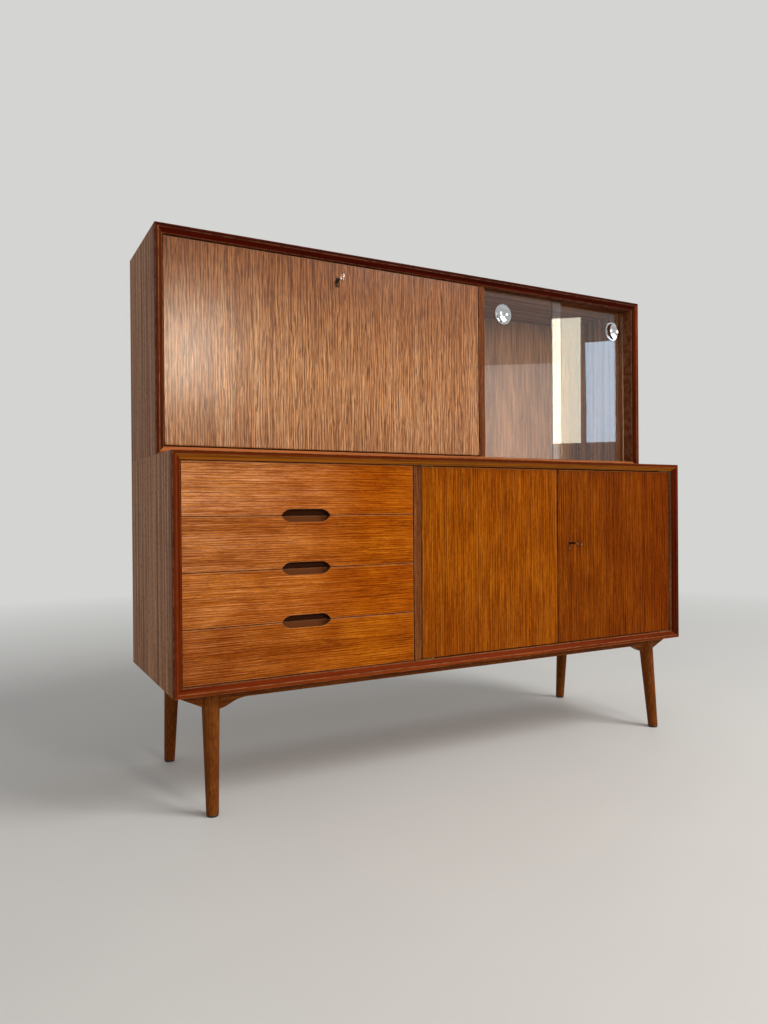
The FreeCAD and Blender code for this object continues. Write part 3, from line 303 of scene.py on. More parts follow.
def teak(name, node, look):
    look = {**teakGrain, **look}
    wood = finish(name)
    place = wood.place()
    at = wood.axes(place)
    low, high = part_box(node)
    upright = look["along"] == "Z"
    crossing = look["across"] or ("X" if upright else "Z")
    drift = wood.node("ShaderNodeTexNoise", {},
                      {"Vector": place, "Scale": look["wanderScale"], "Detail": 2.0}, 1)
    sideways = [look["wander"] if axis == crossing else 0.0 for axis in "XYZ"]
    bent = wood.node("ShaderNodeVectorMath", {"operation": "MULTIPLY_ADD"}, {0: drift, 1: sideways, 2: place})

    def layer(key, detail):
        scale, stretch = look[key][:2]
        return wood.noise(bent, scale, stretched(look["along"], stretch), look["shift"], detail)

    bands, streaks, lines = layer("bands", 2.0), layer("streaks", 3.0), layer("lines", 2.0)
    depth = 0.5
    for key, part in (("bands", bands), ("streaks", streaks), ("lines", lines)):
        depth = depth + (part - 0.5) * look[key][2]
    colour = wood.ramp(depth, look["stops"], (look["dark"], look["mid"], look["light"]))

    pocks = layer("pores", 1.5)
    flecks = (1.0 - pocks).rise(look["poreFrom"], look["fleckTo"])
    colour = wood.mix(flecks * look["flecks"], colour, look["light"])
    pores = pocks.rise(look["poreFrom"], look["poreTo"])
    pores = pores * (look["poresInDark"] - bands * (look["poresInDark"] - look["poresInLight"]))
    vessels = layer("vessels", 1.0).rise(look["poreFrom"], look["poreTo"])
    pitted = pores * look["pores"][2] + vessels * look["vessels"][2] * (1.0 - pores)
    colour = wood.mix(pitted, colour, look["pore"])
    for number, ribs in enumerate(look["ribs"]):
        colour = wood.mix(ribLines(wood, look, bent, at[crossing], ribs, number), colour, look["pore"])

    if look["fade"] is not None:              # painted light towards one end, measured from the low edge: a paler sheen on drawers, darker shade on flap and right door
        axis, start, end, paintedLightTint = look["fade"]
        edge = low["XYZ".index(axis)]
        kept = at[axis].rise(edge + start, edge + end)
        colour = wood.mix(1.0 - kept, colour, wood.mix(1.0, colour, paintedLightTint, "MULTIPLY"))
    blush = wood.noise(place, look["blush"], shift=look["shift"], detail=1.0).rise(*look["blushSpread"])
    flushed = [c * t for c, t in zip(look["tint"], look["blushTint"])]
    colour = wood.mix(1.0, colour, wood.mix(blush, flushed, look["tint"]), "MULTIPLY")
    rub = wood.noise(place, look["rubScale"], detail=3.0).rise(*look["rubSpread"])
    # arrises paler from rubbing, and a painted highlight
    wearAndGlint = edgeShare(at, low, high, look["wearAndGlintWidth"]) * rub * look["edgeWearAndGlint"]
    coat = (1.0 - pitted * poreForm["dull"]) * look["coat"]       # thin lacquer, broken at the pores

    if look["lip"] is not None:               # dark lipping, flat outside, bevelled inside, toned board by board with painted light and shade, arrises with a painted highlight
        lip = look["lip"]
        side = 0 if upright else 2
        across = at["XYZ"[side]]
        out = across - low[side] if lip["outside"] == "low" else high[side] - across
        # before the panes the dark staining reaches deeper on the inner faces, partly as painted shade
        front = at["Y"] < low[1] + lipForm["depth"] + (out > lipForm["innerFace"]) * lip["reveal"]
        bevelled = out.rise(lipForm["ridge"] - lipForm["blend"], lipForm["ridge"] + lipForm["blend"])
        stainAndLight = wood.mix(bevelled, lip["flat"], lip["bevel"])
        least, spread = lipForm["tone"]
        stainAndLight = wood.mix(1.0, stainAndLight, least + depth.rise(0.0, 1.0) * spread, "MULTIPLY")
        colour = wood.mix(front, colour, stainAndLight)
        # the ridges of the lip get a painted highlight, broken by rub noise
        off = abs(out - lipForm["ridge"]).least(abs(out - lipForm["innerRidge"]))
        ridge = 1.0 - off.rise(*lipForm["ridgeSpread"])
        least, spread = lipForm["rubbedGlint"]
        wearAndGlint = wearAndGlint.most(ridge * front * (least + rub * spread) * lip["gleam"])

    if look["edgeDepth"] is not None:         # solid edge between the two leaves, without lacquer, dark teak darkened further as painted shade in the gaps
        start = low[1] + edgeForm["inset"]
        end = low[1] + look["edgeDepth"] - edgeForm["inset"]
        rim = at["Y"].rise(start, start + edgeForm["blend"]) * (at["Y"] < end)
        colour = wood.mix(rim * edgeForm["share"], colour, look["edgeStainAndShade"])
        coat = coat * (1.0 - rim)

    if look["recess"]:                        # finger recess in painted shade, dark above the joint, brown below, the rim given a painted highlight
        middle = (low[0] + high[0]) / 2
        first, last = recessForm["blend"]
        deep = (abs(at["X"] - middle) < recessForm["reach"]) * at["Y"].rise(low[1] + first, low[1] + last)
        shaded = wood.mix(at["Z"] > (low[2] + high[2]) / 2, recessForm["upper"], recessForm["lower"])
        colour = wood.mix(deep * recessForm["share"], colour, shaded)
        coat = coat * (1.0 - deep)
        turned = wood.node("ShaderNodeBevel", {"samples": 6}, {"Radius": recessForm["rim"]})
        flat = wood.node("ShaderNodeNewGeometry", {}, {}, "True Normal")
        bend = wood.node("ShaderNodeVectorMath", {"operation": "DOT_PRODUCT"}, {0: turned, 1: flat}, "Value")
        rim = 1.0 - bend.rise(*recessForm["rimSpread"])
        wearAndGlint = wearAndGlint.most(rim * (1.0 - deep) * recessForm["rubbedGlint"])

    if look["crest"]:                         # the upper arris of a front, a painted highlight from the light above, broken by rub noise
        least, spread = crestForm["rubbedGlint"]
        crest = at["Z"].rise(high[2] - crestForm["from"], high[2] - crestForm["to"])
        wearAndGlint = wearAndGlint.most(crest * (least + rub * spread) * look["crest"])

    # rubbing and the painted highlights on arrises, lip ridges, recess rims and upper crests all take one
    # pale colour
    colour = wood.mix(wearAndGlint, colour, look["wearAndGlintColour"])
    smear = wood.noise(place, look["smearScale"], detail=4.0)
    rough = look["rough"] + (streaks - 0.5) * look["roughSpread"] + (smear - 0.5) * look["smearShare"]
    rough = rough + pitted * poreForm["rough"] - wearAndGlint * reliefForm["wornSmooth"]
    height = lines * reliefForm["lines"] + streaks * reliefForm["streaks"] - pitted * poreForm["deep"]
    normal = wood.bump(look["relief"], look["reliefDepth"], height, look["arris"])
    return wood.surface(Base_Color=colour, Roughness=rough, Specular_IOR_Level=look["specular"],
                        Coat_Weight=coat, Coat_Roughness=look["coatRough"], Normal=normal)


def dressTeak(node, look):
    dress(node, teak(node + "_teak", node, look))


# Case boards, mitred and bevelled at the front, with dark red lippings that carry painted light and shade
caseBoards = {
    # the side tones are pale and grey partly as a painted reflection of the pale room, about half of it
    "tones": {"side": ((0.18, 0.072, 0.030), (0.375, 0.170, 0.082), (0.55, 0.285, 0.152)),
              "board": ((0.17, 0.055, 0.016), (0.29, 0.102, 0.034), (0.40, 0.165, 0.064))},
    "grain": {"bands": (60.0, 0.008, 3.4), "streaks": (240.0, 0.009, 2.8), "lines": (620.0, 0.014, 2.4),
              "across": "Y", "specular": 0.02},
    "step": (1.7, 2.3, 0.9),
    # outer edge, stains of flat and bevel (dark red, painted lighter where a face meets the light and darker
    # where it is in shade), gleam of the arrises (a painted highlight), extra stained depth inside, before
    # the panes (partly painted shade)
    "lips": {
        "lower_left_side": ("low", (0.090, 0.013, 0.002), (0.108, 0.013, 0.001), 0.15, 0.0),
        "lower_right_side": ("high", (0.088, 0.009, 0.001), (0.085, 0.009, 0.001), 0.12, 0.0),
        "lower_top_board": ("high", (0.155, 0.023, 0.001), (0.290, 0.088, 0.007), 0.20, 0.0),
        "lower_bottom_board": ("low", (0.170, 0.031, 0.005), (0.120, 0.016, 0.002), 0.42, 0.0),
        "upper_left_side": ("low", (0.068, 0.010, 0.002), (0.106, 0.019, 0.004), 0.50, 0.0),
        "upper_right_side": ("high", (0.105, 0.012, 0.001), (0.092, 0.014, 0.003), 0.40, 0.0344),
        "upper_top_board": ("high", (0.048, 0.004, 0.001), (0.068, 0.005, 0.001), 0.25, 0.0344),
        "upper_bottom_board": ("low", (0.275, 0.062, 0.017), (0.340, 0.102, 0.030), 0.20, 0.0),
    },
}
for number, (board, lip) in enumerate(caseBoards["lips"].items()):
    upright = board.endswith("side")
    dark, mid, light = caseBoards["tones"]["side" if upright else "board"]
    dressTeak(board, {**caseBoards["grain"], "along": "Z" if upright else "X",
                      "shift": strewn(number, caseBoards["step"]),
                      "dark": dark, "mid": mid, "light": light,
                      "lip": dict(zip(("outside", "flat", "bevel", "gleam", "reveal"), lip))})
dividers = {"dark": (0.090, 0.022, 0.004), "mid": (0.180, 0.050, 0.010), "light": (0.28, 0.095, 0.026)}
dressTeak("lower_divider", {**dividers, "shift": (7.3, 1.1, 0.4)})
dressTeak("upper_divider", {**dividers, "tint": (1.0, 1.0, 1.1), "shift": (8.9, 2.2, 0.8)})
shelves = {"along": "X", "dark": (0.19, 0.072, 0.028), "mid": (0.32, 0.138, 0.060),
           "light": (0.43, 0.21, 0.10)}
dressTeak("lower_shelf", {**shelves, "shift": (4.4, 6.1, 2.0)})
dressTeak("flap_shelf", {**shelves, "shift": (5.2, 7.7, 3.0)})
print("case boards, dividers and shelves dressed")

# Flap: a pinkish leaf, its paleness partly a painted reflection veil, with upright grain, fine growth lines
# and a lacquer that takes the sheen; painted shade darkens its top
flapLeaf = {
    "shift": (0.37, 5.0, 1.2), "dark": (0.31, 0.108, 0.028), "mid": (0.635, 0.282, 0.106),
    "light": (0.83, 0.465, 0.230), "pore": (0.105, 0.030, 0.006), "wander": 0.030, "wanderScale": 5.0,
    "bands": (90.0, 0.008, 1.1), "streaks": (560.0, 0.010, 0.5), "lines": (1000.0, 0.016, 1.8),
    "pores": (900.0, 0.040, 0.45), "vessels": (1300.0, 0.040, 0.30), "flecks": 0.30,
    "ribs": [{"pitch": 0.0084, "share": 0.84, "sway": 0.022, "bow": 0.12, "run": 0.03, "edge": (0.15, 0.75)},
             {"pitch": 0.0057, "share": 0.78, "sway": 0.014, "bow": 0.12, "run": 0.03, "edge": (0.05, 0.75)}],
    "rough": 0.30, "roughSpread": 0.10, "specular": 0.06, "relief": 0.14, "coat": 0.55, "coatRough": 0.20,
    # fade: painted shade, darker towards the top; the edge and crest shares add painted highlights on the
    # arrises, with some rubbing
    "edgeWearAndGlint": 0.6, "crest": 0.3, "fade": ("Z", 0.4685, 0.1985, (0.52, 0.37, 0.21)),
    "edgeDepth": 0.019, "edgeStainAndShade": (0.085, 0.028, 0.009),
}
dressTeak("flap", flapLeaf)

# Drawer fronts: one run of orange leaf with level grain, each front a tone of its own; a painted sheen makes
# three paler to the left, painted shade darkens the left of the fourth
drawerLeaf = {
    "along": "X", "dark": (0.21, 0.035, 0.001), "mid": (0.46, 0.100, 0.001), "light": (0.66, 0.208, 0.012),
    "pore": (0.12, 0.018, 0.001), "blush": 11.0, "blushTint": (0.80, 0.70, 0.62),
    "bands": (52.0, 0.010, 0.4), "streaks": (1050.0, 0.006, 1.0), "lines": (1600.0, 0.009, 1.5),
    "pores": (1000.0, 0.040, 0.50), "vessels": (1500.0, 0.060, 0.45), "flecks": 0.25,
    "ribs": [{"pitch": 0.0052, "share": 0.75, "sway": 0.012, "bow": 0.02, "run": 0.020, "edge": (0.0, 0.8)}],
    "rough": 0.40, "specular": 0.0, "coat": 0.08, "crest": 0.22, "edgeWearAndGlint": 0.65,
    "recess": True, "edgeDepth": 0.019,
}
# from and to: over which the painted light at the left end fades out; start and step: where each front's
# grain is taken
drawerSheenAndGrain = {"from": -0.0115, "to": 0.4285, "start": (0.0, 3.3, 0.0), "step": (0.9, 0.0, 2.7)}
# each front: its tint, and the painted light at its left end
drawerShades = [((1.06, 1.04, 1.0), (1.50, 2.60, 29.0)), ((1.08, 1.11, 1.1), (1.18, 1.72, 16.0)),
                ((1.03, 0.98, 0.8), (1.30, 1.90, 15.0)), ((1.11, 1.19, 1.1), (0.84, 0.94, 6.5))]
for number, (shade, paintedLightTint) in enumerate(drawerShades, 1):
    dressTeak(f"drawer_{number}_front",
              {**drawerLeaf, "tint": shade, "fade": ("X", drawerSheenAndGrain["from"], drawerSheenAndGrain["to"], paintedLightTint),
               "shift": strewn(number, drawerSheenAndGrain["step"], drawerSheenAndGrain["start"])})

# Doors: upright grain with fine lines, the right one darker and redder
doorLeaf = {
    "blush": 7.0, "blushTint": (0.84, 0.76, 0.70), "pore": (0.085, 0.015, 0.001),
    "bands": (66.0, 0.005, 0.4), "streaks": (1000.0, 0.006, 1.1), "lines": (1300.0, 0.010, 1.9),
    "pores": (1000.0, 0.050, 0.50), "vessels": (1500.0, 0.060, 0.45), "flecks": 0.22,
    "ribs": [{"pitch": 0.0064, "share": 0.70, "sway": 0.016, "bow": 0.02, "run": 0.030, "edge": (0.0, 0.8)}],
    "crest": 0.45, "rough": 0.40, "specular": 0.0, "coat": 0.07, "edgeDepth": 0.019,
    "edgeWearAndGlint": 0.3, "wearAndGlintColour": (0.46, 0.20, 0.07),
}
leftDoor = {"shift": (2.2, 1.0, 5.5), "dark": (0.17, 0.029, 0.001), "mid": (0.350, 0.080, 0.001),
            "light": (0.56, 0.172, 0.008), "edgeStainAndShade": (0.22, 0.085, 0.024)}
rightDoor = {"shift": (6.6, 1.9, 4.1), "dark": (0.095, 0.015, 0.001), "mid": (0.232, 0.046, 0.001),
             "light": (0.40, 0.110, 0.005), "edgeStainAndShade": (0.016, 0.005, 0.002),
             # fade: painted shade, darker towards the right edge
             "fade": ("X", 0.43525, 0.08525, (0.76, 0.58, 0.40))}
dressTeak("left_door", {**doorLeaf, **leftDoor})
dressTeak("right_door", {**doorLeaf, **rightDoor})
print("flap, drawer fronts and doors dressed")

# Leg base in solid teak
baseTeak = {"dark": (0.090, 0.019, 0.001), "mid": (0.180, 0.045, 0.003), "light": (0.27, 0.082, 0.011),
            "edgeWearAndGlint": 0.2, "arris": 0.0012}
legGrain = {"start": (0.0, 0.0, 0.6), "step": (2.1, 1.3, 0.0), "streaks": (520.0, 0.03, 1.5)}
railGrain = {"start": (1.1, 0.0, 0.3), "step": (0.0, 2.6, 0.0), "edgeWearAndGlint": 0.1}
for number, leg in enumerate(("front_left_leg", "front_right_leg", "back_left_leg", "back_right_leg")):
    dressTeak(leg, {**baseTeak, "shift": strewn(number, legGrain["step"], legGrain["start"]),
                    "streaks": legGrain["streaks"]})
for number, rail in enumerate(("front_base_rail", "back_base_rail", "rail_wings")):
    dressTeak(rail, {**baseTeak, "along": "X", "edgeWearAndGlint": railGrain["edgeWearAndGlint"],
                     "shift": strewn(number, railGrain["step"], railGrain["start"])})
dressTeak("cross_rails", {**baseTeak, "along": "Y", "shift": (5.1, 0.6, 3.3), "edgeWearAndGlint": 0.0})
print("leg base dressed")

# Back boards: teak leaf inside, bare birch ply with rows of pin heads behind
backBoards = {
    "dark": (0.20, 0.080, 0.030), "mid": (0.34, 0.148, 0.060), "light": (0.46, 0.22, 0.100),
    "stops": (0.18, 0.5, 0.82), "start": (0.0, 4.0, 1.0), "step": (3.9, 0.0, 0.0),
    "leaf": (200.0, 0.05, 1.5), "fine": (480.0, 0.03, 0.9), "slow": (9.0, 0.06, 0.9),
    "birch": (0.50, 0.335, 0.185), "birchDark": (0.38, 0.235, 0.115), "leafDepth": 0.003,
    "peel": (7.0, 0.18), "peelStart": (2.0, 0.0, 1.0), "peelStep": (0.0, 5.0, 0.0),
    "rings": 9.0, "ringSpread": (0.1, 0.9), "ringShare": 0.35, "fineShare": 0.3,
    "pinStep": 0.118, "pinRadius": 0.0024, "pinCore": 0.8, "pinInset": 0.012, "pinColour": (0.16, 0.13, 0.10),
    "rough": 0.5, "roughSpread": 0.2, "specular": 0.3, "relief": 0.3, "reliefDepth": 0.0003,
    "fineHeight": 0.4, "peelHeight": 0.3, "pinHeight": 0.8,
}


def pinGap(along, edge):                      # how far a point is from the nearest pin of a row
    step = backBoards["pinStep"]
    off = abs((along / step).through("FRACT") - 0.5) * step
    return (edge * edge + off * off).through("SQRT")


def backPly(case, number):
    board = f"{case}_back_board"
    low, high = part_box(board)
    ply = finish(f"{case}_back_ply")
    place = ply.place()
    at = ply.axes(place)
    shift = strewn(number, backBoards["step"], backBoards["start"])

    def layer(key, detail):
        scale, stretch = backBoards[key][:2]
        return ply.noise(place, scale, stretched("Z", stretch), shift, detail)

    leaf, fine, slow = layer("leaf", 3.0), layer("fine", 2.0), layer("slow", 2.0)
    depth = 0.5
    for key, part in (("leaf", leaf), ("fine", fine), ("slow", slow)):
        depth = depth + (part - 0.5) * backBoards[key][2]
    inside = ply.ramp(depth, backBoards["stops"], [backBoards[tone] for tone in ("dark", "mid", "light")])
    scale, stretch = backBoards["peel"]
    peelShift = strewn(number, backBoards["peelStep"], backBoards["peelStart"])
    peel = ply.noise(place, scale, stretched("X", stretch), peelShift, 4.0, 0.6)
    ring = (peel * backBoards["rings"]).through("FRACT").rise(*backBoards["ringSpread"])
    behind = ply.mix(ring * backBoards["ringShare"] + fine * backBoards["fineShare"],
                     backBoards["birch"], backBoards["birchDark"])
    rimX = abs((at["X"] - low[0]).least(high[0] - at["X"]) - backBoards["pinInset"])
    rimZ = abs((at["Z"] - low[2]).least(high[2] - at["Z"]) - backBoards["pinInset"])
    gap = pinGap(at["X"], rimZ).least(pinGap(at["Z"], rimX))
    pins = 1.0 - gap.rise(backBoards["pinRadius"] * backBoards["pinCore"], backBoards["pinRadius"])
    behind = ply.mix(pins, behind, backBoards["pinColour"])
    colour = ply.mix(at["Y"] > low[1] + backBoards["leafDepth"], inside, behind)
    height = fine * backBoards["fineHeight"] + peel * backBoards["peelHeight"]
    height = height - pins * backBoards["pinHeight"]
    normal = ply.bump(backBoards["relief"], backBoards["reliefDepth"], height)
    rough = backBoards["rough"] + (leaf - 0.5) * backBoards["roughSpread"]
    dress(board, ply.surface(Base_Color=colour, Roughness=rough, Specular_IOR_Level=backBoards["specular"],
                             Normal=normal))


for number, case in enumerate(("lower", "upper")):
    backPly(case, number)
print("back boards dressed")

# Drawer boxes and runners in oiled beech, flecked along the grain
beechLook = {"pale": (0.56, 0.37, 0.205), "deep": (0.44, 0.265, 0.130), "fleck": (0.30, 0.155, 0.065),
             "grime": (0.30, 0.19, 0.10), "wide": (24.0, 0.06, 1.6), "fine": (300.0, 0.03, 0.8),
             "flecks": (620.0, 0.16, 0.5), "fleckSpread": (0.62, 0.72), "toneSpread": (0.1, 0.9),
             "grimeScale": 5.0, "grimeSpread": (0.52, 0.75), "grimeShare": 0.35, "arris": 0.0006,
             "rough": 0.52, "roughSpread": 0.2, "specular": 0.3, "relief": 0.25, "reliefDepth": 0.0002,
             "fleckHeight": 0.5, "start": (0.0, 0.4, 0.0), "step": (1.3, 0.0, 2.2),
             "runners": (9.1, 3.0, 1.0)}


def beech(name, shift):
    box = finish(name)
    place = box.place()

    def layer(key, detail):
        scale, stretch = beechLook[key][:2]
        return box.noise(place, scale, stretched("Y", stretch), shift, detail)

    wide, fine = layer("wide", 3.0), layer("fine", 2.0)
    fleck = layer("flecks", 1.0).rise(*beechLook["fleckSpread"])
    depth = 0.5 + (wide - 0.5) * beechLook["wide"][2] + (fine - 0.5) * beechLook["fine"][2]
    colour = box.mix(depth.rise(*beechLook["toneSpread"]), beechLook["deep"], beechLook["pale"])
    colour = box.mix(fleck * beechLook["flecks"][2], colour, beechLook["fleck"])
    grime = box.noise(place, beechLook["grimeScale"], shift=shift, detail=4.0).rise(*beechLook["grimeSpread"])
    colour = box.mix(grime * beechLook["grimeShare"], colour, beechLook["grime"])
    height = fine - fleck * beechLook["fleckHeight"]
    normal = box.bump(beechLook["relief"], beechLook["reliefDepth"], height, beechLook["arris"])
    rough = beechLook["rough"] + (wide - 0.5) * beechLook["roughSpread"]
    return box.surface(Base_Color=colour, Roughness=rough, Specular_IOR_Level=beechLook["specular"],
                       Normal=normal)


for number in range(1, 5):
    shift = strewn(number, beechLook["step"], beechLook["start"])
    dress(f"drawer_{number}_box", beech(f"drawer_{number}_beech", shift))
dress("drawer_runners", beech("runner_beech", beechLook["runners"]))
print("drawer boxes dressed")

# Fittings: aged brass, bronzed key plates, lock steel, chromed pulls, keys with a black patina on the shank
metalLooks = {
    "agedBrass": {"bright": (0.60, 0.41, 0.17), "dull": (0.26, 0.155, 0.060),
                  "rough": (0.26, 0.52), "spread": (0.38, 0.66), "scale": 46.0},
    "plateBronze": {"bright": (0.055, 0.026, 0.013), "dull": (0.020, 0.010, 0.005),
                    "rough": (0.34, 0.58), "spread": (0.35, 0.60), "scale": 120.0},
    "plateBrown": {"bright": (0.200, 0.070, 0.020), "dull": (0.095, 0.032, 0.010),
                   "rough": (0.40, 0.60), "spread": (0.40, 0.65), "scale": 120.0},
    "keyNickel": {"bright": (0.94, 0.86, 0.74), "dull": (0.55, 0.42, 0.28),
                  "rough": (0.14, 0.34), "spread": (0.52, 0.76), "scale": 180.0, "neck": ("flap_key", 0.021)},
    "keyBrass": {"bright": (0.80, 0.54, 0.32), "dull": (0.06, 0.022, 0.012),
                 "rough": (0.10, 0.38), "spread": (0.40, 0.56), "scale": 160.0, "neck": ("door_key", 0.0245)},
    "lockSteel": {"bright": (0.50, 0.49, 0.47), "dull": (0.24, 0.21, 0.18),
                  "rough": (0.30, 0.55), "spread": (0.42, 0.70), "scale": 60.0},
    "pullChrome": {"bright": (0.56, 0.57, 0.59), "dull": (0.42, 0.42, 0.43),
                   "rough": (0.06, 0.17), "spread": (0.52, 0.80), "scale": 70.0},
}
patina = {"colour": (0.020, 0.011, 0.008), "blend": 0.003, "least": 0.75, "cloud": 0.3}
scratches = {"scale": 900.0, "stretch": (1.0, 1.0, 0.04), "shift": (2.0, 1.0, 0.0), "share": 0.3}
metalRelief = {"strength": 0.08, "depth": 0.0001, "cloud": 0.5, "arris": 0.0003}


def metal(name, look):
    alloy = finish(name)
    place = alloy.place()
    cloud = alloy.noise(place, look["scale"], detail=5.0, rough=0.62)
    scratch = alloy.noise(place, scratches["scale"], scratches["stretch"], scratches["shift"], 2.0)
    tarnish = (cloud + (scratch - 0.5) * scratches["share"]).rise(*look["spread"])
    colour = alloy.mix(tarnish, look["bright"], look["dull"])
    if "neck" in look:                        # how far behind the bow's tip the patina starts
        node, behind = look["neck"]
        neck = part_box(node)[0][1] + behind
        away = alloy.axes(place)["Y"].rise(neck, neck + patina["blend"])
        colour = alloy.mix(away * (patina["least"] + cloud * patina["cloud"]), colour, patina["colour"])
    height = scratch + cloud * metalRelief["cloud"]
    normal = alloy.bump(metalRelief["strength"], metalRelief["depth"], height, metalRelief["arris"])
    sharp, dull = look["rough"]
    rough = sharp + tarnish * (dull - sharp)
    return alloy.surface(Base_Color=colour, Metallic=1.0, Roughness=rough, Normal=normal)


metals = {name: metal(name, look) for name, look in metalLooks.items()}
metalNodes = {
    "agedBrass": ["door_pivot_plates", "flap_pivot_plates", "left_door_bushes", "right_door_bushes",
                  "flap_bushes", "shelf_pins", "stay_studs", "stay_brackets", "left_stay_arm",
                  "right_stay_arm", "door_keeper", "flap_strike_plate"],
    "plateBronze": ["flap_key_plate"],
    "plateBrown": ["door_key_plate"],
    "lockSteel": ["door_lock_case", "flap_lock_case", "door_lock_bolt", "flap_lock_bolt"],
    "pullChrome": ["left_glass_pull", "right_glass_pull"],
}
for name, members in metalNodes.items():
    for node in members:
        dress(node, metals[name])


def pickFaces(piece, wanted):                 # in edit mode: select the faces that the test wants
    bpy.ops.mesh.select_all(action="DESELECT")
    bpy.ops.object.mode_set(mode="OBJECT")
    for face in piece.data.polygons:
        face.select = wanted(face)
    bpy.ops.object.mode_set(mode="EDIT")


def pickPoints(piece, wanted):
    bpy.ops.mesh.select_mode(type="VERT")
    bpy.ops.mesh.select_all(action="DESELECT")
    bpy.ops.object.mode_set(mode="OBJECT")
    for point in piece.data.vertices:
        point.select = wanted(point.co)
    bpy.ops.object.mode_set(mode="EDIT")


def startPiece():
    bpy.ops.object.select_all(action="DESELECT")


def takeUp(piece):                            # the only one selected, and active
    startPiece()
    piece.select_set(True)
    bpy.context.view_layer.objects.active = piece


def settle():                                 # place, turn and scale go into the mesh
    bpy.ops.object.transform_apply(location=True, rotation=True, scale=True)
    return bpy.context.object


def joinPieces(pieces, name, smooth, material):
    takeUp(pieces[0])
    for piece in pieces:
        piece.select_set(True)
    bpy.ops.object.join()
    whole = bpy.context.object
    whole.name = name
    bpy.ops.object.shade_smooth_by_angle(angle=math.radians(smooth))
    whole.data.materials.clear()
    whole.data.materials.append(material)
    return whole


# Keys: a turned shank with a collar and a bead, a flattened ring for a bow, a warded bit. The solid that a
# key stands for gives its length and height; collar and bead are (along, radius) in mm
keyForms = {
    "door_key": {"metal": "keyBrass", "bowDepth": 0.024},
    "flap_key": {"metal": "keyNickel", "bowDepth": 0.020},
    "rim": 0.0045, "thick": 0.0034, "inLock": 0.0045, "shankSides": 24, "ringSides": 48, "rimSides": 14,
    "pinch": 0.86, "pinchFrom": (0.10, 0.26), "ease": 0.35, "smooth": 32,
    "collar": [(-4.5, 2.1), (-4.1, 2.5), (20.2, 2.5), (20.3, 3.5), (20.8, 4.0), (22.4, 4.0), (22.9, 3.5),
               (23.2, 3.0), (24.3, 2.5)],
    "bead": [(-8.0, 2.4), (-7.2, 3.0), (-5.8, 3.3), (-4.4, 3.0), (-3.6, 2.3), (-1.6, 2.4), (0.2, 2.9),
             (2.2, 2.4)],
    "bit": (0.0020, 0.0042, 0.0080), "wardRim": 0.0009, "wardDepth": 0.0004,
}


def turnShank(x, back, z, profile):
    startPiece()
    along, radius = profile[0]
    bpy.ops.mesh.primitive_circle_add(vertices=keyForms["shankSides"], radius=radius / 1000, fill_type="NGON",
                                      location=(x, back - along / 1000, z), rotation=(math.pi / 2, 0, 0))
    shank = settle()
    bpy.ops.object.mode_set(mode="EDIT")
    bpy.ops.mesh.select_all(action="SELECT")
    for (along, radius), (nextAlong, nextRadius) in zip(profile, profile[1:]):
        bpy.ops.mesh.extrude_region_move(TRANSFORM_OT_translate={"value": (0, (along - nextAlong) / 1000, 0)})
        grow = nextRadius / radius
        bpy.ops.transform.resize(value=(grow, 1, grow), center_override=(x, back - nextAlong / 1000, z))
    bpy.ops.mesh.select_all(action="SELECT")
    bpy.ops.mesh.normals_make_consistent(inside=False)
    bpy.ops.object.mode_set(mode="OBJECT")
    return shank


def ringBow(x, middle, z, deep, tall):
    startPiece()
    rim = keyForms["rim"]
    bpy.ops.mesh.primitive_torus_add(major_segments=keyForms["ringSides"], major_radius=(tall - rim) / 2,
                                     minor_segments=keyForms["rimSides"], minor_radius=rim / 2,
                                     location=(x, middle, z), rotation=(0, math.pi / 2, 0))
    bow = settle()
    bpy.ops.object.mode_set(mode="EDIT")
    bpy.ops.mesh.select_all(action="SELECT")
    bpy.ops.transform.resize(value=(keyForms["thick"] / rim, deep / tall, 1), center_override=(x, middle, z))
    for reach in keyForms["pinchFrom"]:       # the ring narrows towards the shank
        pickPoints(bow, lambda co: co.y > middle + deep * reach)
        bpy.ops.transform.resize(value=(1, 1, keyForms["pinch"]), center_override=(x, middle, z))
    bpy.ops.mesh.select_all(action="SELECT")
    bpy.ops.mesh.vertices_smooth(factor=keyForms["ease"], repeat=1)
    bpy.ops.mesh.normals_make_consistent(inside=False)
    bpy.ops.object.mode_set(mode="OBJECT")
    return bow


def wardedBit(x, end, z):
    startPiece()
    wide, long, drop = keyForms["bit"]
    middle = (x, end - long / 2, z - drop / 2)
    bpy.ops.mesh.primitive_cube_add(size=1, location=middle, scale=(wide, long, drop))
    bit = settle()
    bpy.ops.object.mode_set(mode="EDIT")
    for facing in (-1, 1):                    # a ward cut on each cheek
        pickFaces(bit, lambda face: face.normal.x * facing > 0.9)
        bpy.ops.mesh.inset(thickness=keyForms["wardRim"], depth=0.0)
        inward = (-keyForms["wardDepth"] * facing, 0, 0)
        bpy.ops.mesh.extrude_region_move(TRANSFORM_OT_translate={"value": inward})
    bpy.ops.object.mode_set(mode="OBJECT")
    return bit


for keyNode in ("door_key", "flap_key"):
    form = keyForms[keyNode]
    low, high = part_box(keyNode)
    x, z = (low[0] + high[0]) / 2, (low[2] + high[2]) / 2
    back, deep = high[1] - keyForms["inLock"], form["bowDepth"]
    bowStart = (back - low[1] - deep) * 1000
    profile = keyForms["collar"] + [(bowStart + along, radius) for along, radius in keyForms["bead"]]
    parts = [turnShank(x, back, z, profile), ringBow(x, low[1] + deep / 2, z, deep, high[2] - low[2]),
             wardedBit(x, back + keyForms["inLock"], z)]
    key = joinPieces(parts, keyNode + "_turned", keyForms["smooth"], metals[form["metal"]])
    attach(key, keyNode)
    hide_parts(keyNode)
print("keys modelled")

